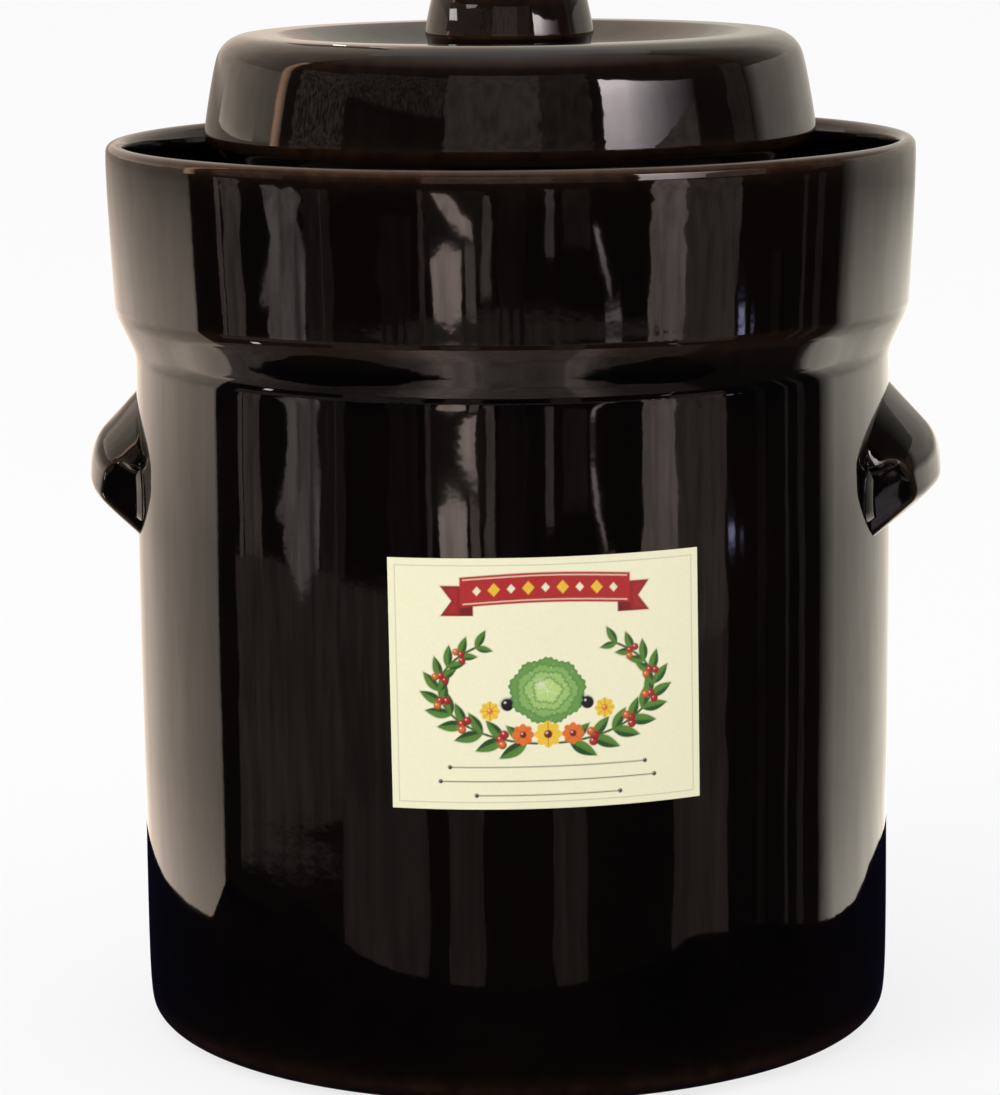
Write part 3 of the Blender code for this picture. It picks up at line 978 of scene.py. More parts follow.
def on_wall(u, v, lift):
    """World places of label points, given in mm from the label's middle."""
    along = (u * math.cos(LABEL_TILT) - v * math.sin(LABEL_TILT)) * MM
    height = LABEL_CENTRE_HEIGHT + (u * math.sin(LABEL_TILT) + v * math.cos(LABEL_TILT)) * MM
    radius = wall_radius(height) + lift
    angle = LABEL_TURN + along / radius
    return np.stack([radius * np.sin(angle), -radius * np.cos(angle), height], -1)


def make_sheet():
    front = on_wall(U, V, PAPER_LIFT).reshape(-1, 3)
    low_back = on_wall(u_line, np.full_like(u_line, v_line[0]), 0.0)
    high_back = on_wall(u_line, np.full_like(u_line, v_line[-1]), 0.0)
    places = np.concatenate([front, low_back, high_back])
    wide = columns + 1
    low_start = wide * (rows + 1)
    high_start = low_start + wide
    faces = grid_faces(rows, columns)
    top = rows * wide
    for column in range(columns):
        low, high = low_start + column, high_start + column
        faces.append((low, low + 1, column + 1, column))
        faces.append((top + column, top + column + 1, high + 1, high))
        faces.append((high, high + 1, low + 1, low))
    left = [row * wide for row in range(rows + 1)]
    right = [row * wide + columns for row in range(rows + 1)]
    faces.append((low_start, *left, high_start))
    faces.append((high_start + columns, *right[::-1], low_start + columns))
    mesh = bpy.data.meshes.new("paper_label")
    mesh.from_pydata(places.tolist(), [], faces)
    mesh.update()
    mesh.shade_smooth()
    return in_scene("paper_label", mesh)


sheet = make_sheet()
print("label points:", len(sheet.data.vertices))

# %% [markdown]
# ## Printing the label
#
# The print is painted by formula on the grid. Every motif is a mask: the distance of each point
# to an outline, made soft over about a tenth of a millimetre. A colour is then laid on through
# its mask, as an ink would be. The design is a plain garden garland round a head of cabbage,
# under a blank ribbon and over three blank lines to write on.

# %% Masks and inks
PAPER = (0.945, 0.925, 0.790)
RIBBON_RED = (0.700, 0.085, 0.095)
RIBBON_FOLD = (0.470, 0.040, 0.055)
LINE_INK = (0.130, 0.110, 0.120)
LEAF_DARK = (0.075, 0.300, 0.110)
LEAF_LIGHT = (0.450, 0.660, 0.200)
STEM = (0.220, 0.330, 0.120)
BERRY = (0.760, 0.090, 0.070)
ORANGE = (0.900, 0.430, 0.090)
YELLOW = (0.930, 0.760, 0.170)
PLUM = (0.130, 0.080, 0.190)
CABBAGE = (0.760, 0.860, 0.520)
CABBAGE_SHADE = (0.290, 0.520, 0.200)
SHINE = (1.0, 0.99, 0.95)
BLUR = 0.28


def linear(colour):
    """A colour written as it looks on screen, turned into the values that a material uses."""
    values = np.array(colour)
    return np.where(values > 0.04045, ((values + 0.055) / 1.055) ** 2.4, values / 12.92)


print_layer = np.ones(U.shape + (3,)) * linear(PAPER)


def ink(colour, distance, strength=1.0, blur=BLUR):
    """Lays a colour where distance, in mm, is below zero."""
    mask = np.clip(0.5 - distance / blur, 0.0, 1.0) * strength
    print_layer[:] = print_layer + (linear(colour) - print_layer) * mask[..., None]


def turned_grid(u, v, angle):
    """The grid's coordinates along and across a direction, from a point."""
    along = (U - u) * math.cos(angle) + (V - v) * math.sin(angle)
    across = (V - v) * math.cos(angle) - (U - u) * math.sin(angle)
    return along, across


print("dots to print on:", U.size)

# %% [markdown]
# Four motifs are enough for the whole print: a line, a leaf, a berry and a blossom. Each is laid
# on in a few inks, from the darkest and widest to the smallest and lightest.

# %% Motifs
def stroke(start, end, width):
    """Distance to a straight line with round ends."""
    run = math.dist(start, end)
    angle = math.atan2(end[1] - start[1], end[0] - start[0])
    along, across = turned_grid(*start, angle)
    beyond = along - np.clip(along, 0.0, run)
    return np.hypot(beyond, across) - width / 2


def leaf(u, v, angle, length, width, dark=LEAF_DARK, light=LEAF_LIGHT):
    """A pointed leaf with a light side, a dark side, a midrib and veins."""
    along, across = turned_grid(u, v, angle)
    share = np.clip(along / length, 0.0, 1.0)
    half = width / 2 * np.sin(math.pi * share**0.85) ** 0.9
    outside = np.maximum(np.abs(across) - half, np.maximum(-along, along - length))
    ink(dark, outside)
    ink(light, np.maximum(outside, -across), 0.55, 1.2)
    ink(light, np.maximum(outside + width * 0.12, np.abs(across) - 0.07), 0.7)
    veins = np.abs((along - 0.9 * np.abs(across)) % (length / 6) - length / 12) - 0.05
    ink(light, np.maximum(outside + width * 0.10, veins), 0.35)


def berry(u, v, radius, colour):
    """A round fruit: darker towards its lower right, with a small shine."""
    outside = np.hypot(U - u, V - v) - radius
    ink(tuple(0.45 * value for value in colour), outside)
    ink(colour, np.hypot(U - u + radius * 0.14, V - v - radius * 0.16) - radius * 0.78, 1.0, radius)
    ink(SHINE, np.hypot(U - u + radius * 0.36, V - v - radius * 0.38) - radius * 0.16, 0.85, 0.4)


def blossom(u, v, radius, petals, colour, heart):
    """A flower seen from above: rounded petals that are darker towards the heart."""
    angle = np.arctan2(V - v, U - u)
    distance = np.hypot(U - u, V - v)
    edge = radius * (0.80 + 0.20 * np.abs(np.cos(petals * angle / 2)))
    ink(colour, distance - edge)
    spokes = np.abs(np.sin(petals * angle / 2)) * distance - 0.16
    ink(tuple(0.62 * value for value in colour), np.maximum(distance - edge * 0.92, spokes), 0.8)
    ink(heart, distance - radius * 0.30)
    ink(SHINE, np.hypot(U - u + 0.1 * radius, V - v - 0.1 * radius) - radius * 0.09, 0.6)


print("ready:", ", ".join(motif.__name__ for motif in (stroke, leaf, berry, blossom)))

# %% [markdown]
# The garland is two sprigs that rise from the bottom on an ellipse. A loop walks up each sprig
# and sets a leaf outside, a leaf inside and now and then a group of berries, each a little
# smaller than the last. The cabbage is drawn as rings of wavy leaves, from the outermost in.

# %% Paint the garland
GARLAND_WIDTH = 33.0
GARLAND_HEIGHT = 17.0
GARLAND_MIDDLE = (0.0, -1.5)
SPRIG_LEAVES = 11
SPRIG_START = math.radians(-84)
SPRIG_END = math.radians(52)


def garland_point(angle, side):
    u = GARLAND_MIDDLE[0] + side * GARLAND_WIDTH * math.cos(angle)
    v = GARLAND_MIDDLE[1] + GARLAND_HEIGHT * math.sin(angle)
    return u, v


def garland_heading(angle, side):
    return math.atan2(GARLAND_HEIGHT * math.cos(angle), -side * GARLAND_WIDTH * math.sin(angle))


def paint_sprig(side):
    angles = np.linspace(SPRIG_START, SPRIG_END, 30)
    for first, second in zip(angles, angles[1:]):
        ink(STEM, stroke(garland_point(first, side), garland_point(second, side), 0.7))
    for number in range(SPRIG_LEAVES):
        share = number / (SPRIG_LEAVES - 1)
        angle = SPRIG_START + (SPRIG_END - SPRIG_START) * (0.04 + 0.94 * share)
        place = garland_point(angle, side)
        heading = garland_heading(angle, side)
        length = 9.6 - 3.4 * share
        for lean in (0.62, -0.62):
            reach = length * (1.0 if lean * side < 0 else 0.86)
            leaf(*place, heading + lean, reach, reach * 0.40)
        if number % 2 == 1:
            for step, (shift, colour) in enumerate(((-1.5, BERRY), (0.2, BERRY), (1.7, ORANGE))):
                across = heading + math.pi / 2
                u = place[0] + shift * math.cos(across) + 0.9 * (step % 2) * math.cos(heading)
                v = place[1] + shift * math.sin(across) + 0.9 * (step % 2) * math.sin(heading)
                berry(u, v, 1.35 - 0.35 * share, colour)


def paint_cabbage(u, v, radius):
    angle = np.arctan2(V - v, U - u)
    distance = np.hypot((U - u) * 0.94, (V - v) * 1.08)
    layers = ((1.00, 9, 0.3, 0.75), (0.82, 7, 1.4, 0.5), (0.62, 6, 2.3, 0.3), (0.40, 5, 0.9, 0.1))
    for size, waves, phase, shade in layers:
        frill = 0.035 * np.sin(waves * angle + phase) + 0.020 * np.sin(4 * waves * angle)
        edge = radius * (size + frill)
        mixed = tuple(c + (s - c) * shade for c, s in zip(CABBAGE, CABBAGE_SHADE))
        ink(CABBAGE_SHADE, distance - edge)
        ink(mixed, distance - edge + 0.45, 1.0, 0.9)
        ribs = np.abs(np.sin(waves * angle / 2 + phase)) * distance - 0.13
        ink(SHINE, np.maximum(distance - edge * 0.93, ribs), 0.55)
    ink(SHINE, np.hypot(U - u + radius * 0.18, V - v - radius * 0.2) - radius * 0.12, 0.3, 2.2)


for side in (-1, 1):
    paint_sprig(side)
for shift in (-17.5, 17.5):
    blossom(shift, -8.2, 3.1, 8, YELLOW, ORANGE)
for shift in (-12.2, -9.6, 9.6, 12.2):
    berry(shift, -2.0 - 0.35 * abs(shift), 1.9, PLUM)
paint_cabbage(0.0, -2.2, 10.8)
for shift, size in ((-7.6, 3.4), (0.0, 4.2), (7.6, 3.4)):
    blossom(shift, -15.6, size, 8, ORANGE if shift else YELLOW, RIBBON_FOLD)
print("leaves of the garland:", 4 * SPRIG_LEAVES)

# %% [markdown]
# The ribbon is a blank band with a gentle wave and two folded tails, in the deep red that such
# labels like. Below the garland come three thin lines, for the date and the contents.

# %% Paint the ribbon and the lines
RIBBON_MIDDLE = 28.3
RIBBON_HALF_WIDTH = 26.0
RIBBON_HALF_HEIGHT = 4.6
TAIL_LENGTH = 10.0
RULE_INSET = 0.9
RULE_HALF = 0.16
FRAME_INSET = 2.2


def paint_ribbon():
    wave = 1.3 * np.cos(math.pi * U / (2 * RIBBON_HALF_WIDTH))
    height = np.abs(V - RIBBON_MIDDLE - wave)
    for side in (-1, 1):
        out = side * U - (RIBBON_HALF_WIDTH - 4.0)
        tail_height = np.abs(V - RIBBON_MIDDLE + 2.6)
        fork = out - TAIL_LENGTH + 0.75 * (RIBBON_HALF_HEIGHT - tail_height)
        tail = np.maximum(np.maximum(-out, fork), tail_height - RIBBON_HALF_HEIGHT)
        ink(RIBBON_FOLD, tail)
        ink(RIBBON_RED, np.maximum(tail + 0.5, 4.4 - out), 0.9, 2.0)
    band = np.maximum(height - RIBBON_HALF_HEIGHT, np.abs(U) - RIBBON_HALF_WIDTH)
    ink(RIBBON_RED, band)
    off_rule = np.abs(height - (RIBBON_HALF_HEIGHT - RULE_INSET)) - RULE_HALF
    ink(PAPER, np.maximum(off_rule, np.abs(U) - RIBBON_HALF_WIDTH + RULE_INSET), 0.85)
    for number in range(-4, 5):
        across = np.abs(U - number * 5.2)
        diamond = across + np.abs(V - RIBBON_MIDDLE - wave) * 0.9 - (1.9 if number % 2 else 1.3)
        ink(PAPER if number % 2 == 0 else YELLOW, diamond, 0.9)


paint_ribbon()
for height, half in ((-25.6, 30.0), (-30.0, 33.0), (-34.4, 22.0)):
    ink(LINE_INK, stroke((-half, height), (half, height), 0.32), 0.9)
    for end in (-half, half):
        berry(end, height, 0.62, LINE_INK)
across = np.abs(U) - LABEL_WIDTH / 2 + FRAME_INSET
upward = np.abs(V) - LABEL_HEIGHT / 2 + FRAME_INSET
ink(STEM, np.abs(np.maximum(across, upward)) - 0.10, 0.5)
print("printed share:", round(float((print_layer[..., 2] < linear(PAPER)[2] * 0.9).mean()), 2))

# %% [markdown]
# The colours go into a colour attribute of the sheet, and the paper's material reads them. Fine
# fibres and a slightly uneven coat keep the blank parts from looking like plastic.

# %% Finish the label
def paper_material():
    material, tree, shader = new_material("label_paper")
    printed = add_node(tree, "ShaderNodeAttribute", attribute_name="print")
    fibres = object_noise(tree, 900.0, 5.0, 0.7)
    fade = noise_ramp(tree, fibres, 0.3, 0.7, 0.955, 1.0)
    tone = add_node(tree, "ShaderNodeMix", data_type="RGBA", blend_type="MULTIPLY")
    tone.inputs[0].default_value = 1.0
    join(tree, printed, "Color", tone, 6)
    join(tree, fade, 0, tone, 7)
    join(tree, tone, 2, shader, "Base Color")
    coat = object_noise(tree, 90.0, 2.0)
    gloss = noise_ramp(tree, coat, 0.3, 0.7, 0.38, 0.50)
    join(tree, gloss, 0, shader, "Roughness")
    add_relief(tree, fibres, shader, 0.25, 0.00005)
    return material


def print_on(sheet):
    mesh = sheet.data
    colours = np.ones((len(mesh.vertices), 4), np.float32)
    colours[:] = (*linear(PAPER), 1.0)
    colours[: print_layer[..., 0].size, :3] = print_layer.reshape(-1, 3)
    layer = mesh.color_attributes.new("print", "FLOAT_COLOR", "POINT")
    layer.data.foreach_set("color", colours.ravel())
    mesh.materials.append(paper_material())


print_on(sheet)
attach(sheet, "crock")
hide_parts("label")
print("layer with the print:", sheet.data.color_attributes[0].name)

# %% [markdown]
# ## Floor and light
#
# The floor is a large pale sheet and the world is a plain white, so the light is soft and even.
# One large lamp from the upper left gives the shadow a direction.

# %% Floor, world and lamp
FLOOR_COLOUR = (0.95, 0.95, 0.95)
FLOOR_GLOW = 0.985
FLOOR_GLOW_SHARE = 0.78
FLOOR_HALF = 12.0
WORLD_STRENGTH = 0.92
BACKGROUND_STRENGTH = 0.985
LAMP_PLACE = (-1.6, -1.6, 2.2)
LAMP_AIM = (0, 0, 0.15)
LAMP_SIZE = (1.0, 1.0)
LAMP_POWER = 22.0


def make_floor():
    form = bmesh.new()
    bmesh.ops.create_grid(form, x_segments=24, y_segments=24, size=FLOOR_HALF)
    floor = object_from(form, "floor")
    material, tree, shader = new_material("floor_paper")
    grain = object_noise(tree, 40.0, 3.0)
    tint = colour_mix(tree, FLOOR_COLOUR, tuple(0.985 * value for value in FLOOR_COLOUR))
    join(tree, grain, 0, tint, 0)
    join(tree, tint, 2, shader, "Base Color")
    shader.inputs["Roughness"].default_value = 0.95
    shader.inputs["Specular IOR Level"].default_value = 0.0
    glow = add_node(tree, "ShaderNodeEmission", Strength=FLOOR_GLOW)
    path = add_node(tree, "ShaderNodeLightPath")
    share = add_node(tree, "ShaderNodeMath", operation="MULTIPLY")
    share.inputs[1].default_value = FLOOR_GLOW_SHARE
    join(tree, path, "Is Camera Ray", share, 0)
    blend = add_node(tree, "ShaderNodeMixShader")
    join(tree, share, 0, blend, 0)
    join(tree, shader, "BSDF", blend, 1)
    join(tree, glow, "Emission", blend, 2)
    join(tree, blend, "Shader", tree.nodes["Material Output"], "Surface")
    floor.data.materials.append(material)
    # The glaze does not mirror this pale floor, so that the black table card paints a dark
    # reflection there.
    floor.visible_glossy = False
    return floor


def make_world():
    world = bpy.data.worlds.new("studio")
    world.use_nodes = True
    tree = world.node_tree
    sky = tree.nodes["Background"]
    sky.inputs["Color"].default_value = (1.0, 1.0, 1.0, 1.0)
    camera_ray = add_node(tree, "ShaderNodeLightPath")
    level = noise_ramp(tree, camera_ray, 0.0, 1.0, WORLD_STRENGTH, BACKGROUND_STRENGTH)
    join(tree, level, 0, sky, "Strength")
    bpy.context.scene.world = world


def add_softbox(name, place, target, size, power):
    lamp = bpy.data.lights.new(name, "AREA")
    lamp.shape = "RECTANGLE"
    lamp.size, lamp.size_y = size
    lamp.energy = power
    box = in_scene(name, lamp)
    box.location = place
    box.rotation_euler = (Vector(target) - Vector(place)).to_track_quat("-Z", "Y").to_euler()
    return box


floor = make_floor()
make_world()
key = add_softbox("key_softbox", LAMP_PLACE, LAMP_AIM, LAMP_SIZE, LAMP_POWER)
key.visible_glossy = False
print("lamp in watts:", key.data.energy)

# %% [markdown]
# ## What the glaze mirrors: painted reflections
#
# A black glaze has almost no colour of its own: what one sees in it is the room. Here that room
# is painted reflection: glowing cards that only mirrored rays can see. The glaze mirrors a small
# black table under the crock, though the camera sees the pale floor there. In front of it the
# glaze mirrors a dim room with a few lit things: a window, a door, a curtain. Behind and beside
# it stands a warm white sweep. Each of them is such a card. So the cards neither light the crock
# nor show in the picture; they are part of the studio only as painted reflections. Every point of
# a card carries its own brightness, which lets a card fade, and cloudy noise makes it as uneven
# as a real room.

# %% Reflection cards and their shader
ROOM_RADIUS = 2.2
ROOM_TURN = CAMERA_TURN
SPAN_STEP = 3.0
ROW_STEP = 0.03
RAGGED_SIZE = 0.05
DIM = (1.0, 0.78, 0.70)
GREY = (1.0, 0.84, 0.80)
COOL = (1.0, 0.87, 0.90)
BLUE = (0.35, 0.40, 1.0)
PALE_BLUE = (0.62, 0.62, 1.0)
WHITE = (1.0, 0.95, 0.90)
TAN = (1.0, 0.60, 0.40)
WARM_SWEEP = (1.0, 0.83, 0.69)
COOL_SWEEP = (1.0, 0.92, 0.79)
COARSE = 9.0
FINE = 30.0

card_materials = {}


def card_material(tint, mottle=0.0, grain=COARSE):
    """A glow of one tint that takes its strength from the card's points."""
    if (tint, mottle, grain) in card_materials:
        return card_materials[tint, mottle, grain]
    material, tree, shader = new_material("card")
    tree.nodes.remove(shader)
    level = add_node(tree, "ShaderNodeAttribute", attribute_name="glow")
    cloud = object_noise(tree, grain, 5.0, 0.65)
    uneven = noise_ramp(tree, cloud, 0.36, 0.64, 1.0 - mottle, 1.0 + mottle)
    strength = add_node(tree, "ShaderNodeMath", operation="MULTIPLY")
    glow = add_node(tree, "ShaderNodeEmission")
    glow.inputs["Color"].default_value = (*tint, 1.0)
    join(tree, level, "Fac", strength, 0)
    join(tree, uneven, 0, strength, 1)
    join(tree, strength, 0, glow, "Strength")
    join(tree, glow, "Emission", tree.nodes["Material Output"], "Surface")
    card_materials[tint, mottle, grain] = material
    return material


print("the room turns with the camera, in degrees:", round(math.degrees(ROOM_TURN), 1))

# %% [markdown]
# A card is curved or flat. A curved one is a piece of an upright wall, and its brightness can
# change both across and with the height. A flat one is a polygon of one brightness. Their
# points are all given in the same way: an angle from the camera's side, a height and a radius.

# %% Shapes of cards
def make_card(name, places, faces, levels, material):
    """A card that only reflections see, from its points, their brightness and its faces."""
    mesh = bpy.data.meshes.new(name)
    mesh.from_pydata(places, [], faces)
    glow = mesh.attributes.new("glow", "FLOAT", "POINT")
    glow.data.foreach_set("value", levels)
    mesh.materials.append(material)
    card = in_scene(name, mesh)
    card.visible_camera = False
    card.visible_diffuse = False
    card.visible_shadow = False
    return card


def on_card(angle, height, radius):
    """A place on an upright round wall. The angle is counted from the camera's side."""
    turn = math.radians(angle) + ROOM_TURN
    return radius * math.sin(turn), -radius * math.cos(turn), height


def curved_card(name, across, profile, tint, mottle=0.0, ragged=0.0, grain=COARSE):
    """A card that curves round the crock.

    Across are pairs of an angle in degrees and a brightness. The profile's points are a
    radius, a height and a brightness. Both brightnesses are multiplied. Ragged is how far
    the upright edges waver, in degrees.
    """
    angles, glows = np.array(across, float).T
    columns = max(len(angles), 1 + math.ceil((angles[-1] - angles[0]) / SPAN_STEP))
    lines = np.union1d(np.linspace(angles[0], angles[-1], columns), angles)
    rows = []
    for (r, z, level), (next_r, next_z, next_level) in zip(profile, profile[1:]):
        steps = max(1, math.ceil(math.hypot(next_r - r, next_z - z) / ROW_STEP)) if ragged else 1
        shares = np.arange(steps) / steps
        rows += [
            (r + (next_r - r) * s, z + (next_z - z) * s, level + (next_level - level) * s)
            for s in shares
        ]
    rows.append(profile[-1])
    places, levels = [], []
    for r, z, level in rows:
        for angle in lines:
            shift = 0.0
            if ragged and angle in (lines[0], lines[-1]):
                shift = ragged * noise.fractal((angle, z / RAGGED_SIZE, r), 0.8, 2.0, 4)
            places.append(on_card(angle + shift, z, r))
            levels.append(level * np.interp(angle, angles, glows))
    faces = grid_faces(len(rows) - 1, len(lines) - 1)
    return make_card(name, places, faces, levels, card_material(tint, mottle, grain))


def outline_card(name, places, level, tint, mottle=0.0):
    """A flat card with any outline."""
    faces = [tuple(range(len(places)))]
    return make_card(name, places, faces, [level] * len(places), card_material(tint, mottle))


print("the wall of the room in front stands at metres:", ROOM_RADIUS)

# %% [markdown]
# The mirrored room is painted reflection: a dark round wall, with dim things low down and a
# ceiling that glows brighter overhead.
# The things in it are upright strips in front of that wall. Each has a span in degrees from the
# camera's side, a lower and an upper height in metres, a tint and a brightness. Leaves are
# strips too, and more uneven. The upper window has a brightness across and one for its height.

# %% The painted reflection of the room in front
ROOM_REFLECTION_STRIPS = (
    ("lower_left", -90, -52, -0.42, -0.17, DIM, 0.26),
    ("lower_left_middle", -52, -26, -0.80, -0.25, DIM, 0.22),
    ("lower_middle", -20, -9, -0.80, -0.27, DIM, 0.21),
    ("lower_middle_right", 11, 20, -0.80, -0.22, DIM, 0.20),
    ("lower_right", 47, 65, -0.50, -0.24, DIM, 0.27),
    ("cupboard_edge", -88, -86.4, -0.17, 0.20, DIM, 0.62),
    ("cupboard_left", -86, -79, -0.17, 0.20, DIM, 0.48),
    ("wall_left", -58, -50, -0.17, 0.10, DIM, 0.13),
    ("pole_left", -53.0, -51.8, -0.17, 0.10, GREY, 0.45),
    ("shelf_left", -36, -27, -0.25, -0.03, DIM, 0.06),
    ("window_frame", -25.2, -23.6, -0.22, 0.12, DIM, 0.36),
    ("window_wall", -23.6, -7.5, -0.12, 0.11, DIM, 0.10),
    ("window_side", -8.5, -5.5, -0.16, 0.05, DIM, 0.75),
    ("figure", -4.0, 4.0, -0.20, 0.10, DIM, 0.06),
    ("pole_right", 9.2, 11.4, -0.12, 0.13, GREY, 0.60),
    ("hanging", 14.0, 21.0, -0.10, 0.12, DIM, 0.11),
    ("door", 37.8, 48.0, -0.24, 0.26, DIM, 1.42),
    ("door_shade", 48.0, 64.5, -0.24, 0.22, DIM, 0.40),
    ("edge_middle_right", 76.0, 79.0, -0.80, 0.15, GREY, 0.045),
    ("edge_right", 87.0, 88.5, -0.80, 0.15, GREY, 0.14),
    ("edge_far_right", 92.5, 95.5, -0.80, 0.15, GREY, 0.10),
    ("collar_foot", -68, 50, -0.262, -0.176, DIM, 0.24),
    ("upper_left_middle", -64, -45, 0.27, 0.80, DIM, 0.07),
    ("upper_middle", -24, 11, 0.27, 1.30, DIM, 0.47),
    ("upper_middle_right", 11, 30, 0.27, 1.30, DIM, 0.20),
    ("upper_right", 90, 104, 0.27, 1.10, DIM, 0.17),
    ("upper_far_right", 104, 118, 0.27, 1.10, DIM, 0.48),
)
LEAF_REFLECTIONS = (
    ("leaves_left", -88, -64, 0.27, 1.10, 0.26),
    ("leaves_top", -64, -24, 0.84, 1.20, 0.20),
)
WINDOW_ACROSS = ((34.5, 8.4), (44, 7.6), (49, 4.9), (55, 3.0), (61, 1.5), (68, 0.7), (74, 0.1))


WINDOW_UP = ((0.28, 0.70), (0.64, 0.78), (0.84, 1.0), (0.92, 1.25), (1.00, 1.55), (1.12, 1.60))
ROOM_SPAN = ((-112, 1.0), (118, 1.0))
ROOM_FLOOR = -0.80
CEILING_START = 0.25
STRIP_RADIUS = ROOM_RADIUS - 0.1
MOST_RAGGED = 1.6


def upright(rows, radius=STRIP_RADIUS):
    """The profile of a card that stands upright, from pairs of a height and a brightness."""
    return [(radius, height, level) for height, level in rows]


def painted_room_reflections():
    wall = upright(((ROOM_FLOOR, 0.022), (CEILING_START, 0.022)), ROOM_RADIUS)
    curved_card("painted_room_reflections", ROOM_SPAN, wall, DIM)
    ceiling = upright(((CEILING_START, 0.05), (1.9, 0.06)), ROOM_RADIUS)
    ceiling += [(1.5, 2.7, 0.5), (0.3, 3.1, 1.0)]
    curved_card("room_ceiling", ROOM_SPAN, ceiling, DIM)
    for name, first, last, low, high, tint, level in ROOM_REFLECTION_STRIPS:
        sides = ((first, level), (last, level))
        ragged = min(MOST_RAGGED, 0.25 * (last - first))
        curved_card(name, sides, upright(((low, 1.0), (high, 1.0))), tint, 0.3, ragged)
    for name, first, last, low, high, level in LEAF_REFLECTIONS:
        sides = ((first, level), (last, level))
        rows = upright(((low, 1.0), (high, 1.0)))
        curved_card(name, sides, rows, DIM, 1.0, MOST_RAGGED, FINE)
    # The upper window's glow paints the bright patch of reflection on the lid.
    curved_card("upper_window", WINDOW_ACROSS, upright(WINDOW_UP), COOL, 0.04, 0.8)


painted_room_reflections()
print("strips in the room:", len(ROOM_REFLECTION_STRIPS) + len(LEAF_REFLECTIONS))

# %% [markdown]
# Some of the things in the room have no straight outline: a rough curtain on the left, the view
# through the window in the middle, a bright crack on the right, and a cornice and a chair in
# front of the upper window, which the lid mirrors. The trimmed ends of the handles look down, so
# they mirror low things: a painted glint on the left, and a pale and a dim patch on the right.
# All of those are polygons of painted reflection, given by angles and heights. A few cards stand
# close by, where only one piece mirrors them: two small glowing cards beside the knob that paint
# its glints, with a dim screen outside them, a dim shade that takes the window's reflection off
# the right handle, and a bright plank edge that paints a warm streak of reflection on the lid.

# %% Irregular painted reflections in the room
def span(first, last, low, high):
    """The corners of an upright patch between two angles and two heights."""
    return (first, low), (last, low), (last, high), (first, high)


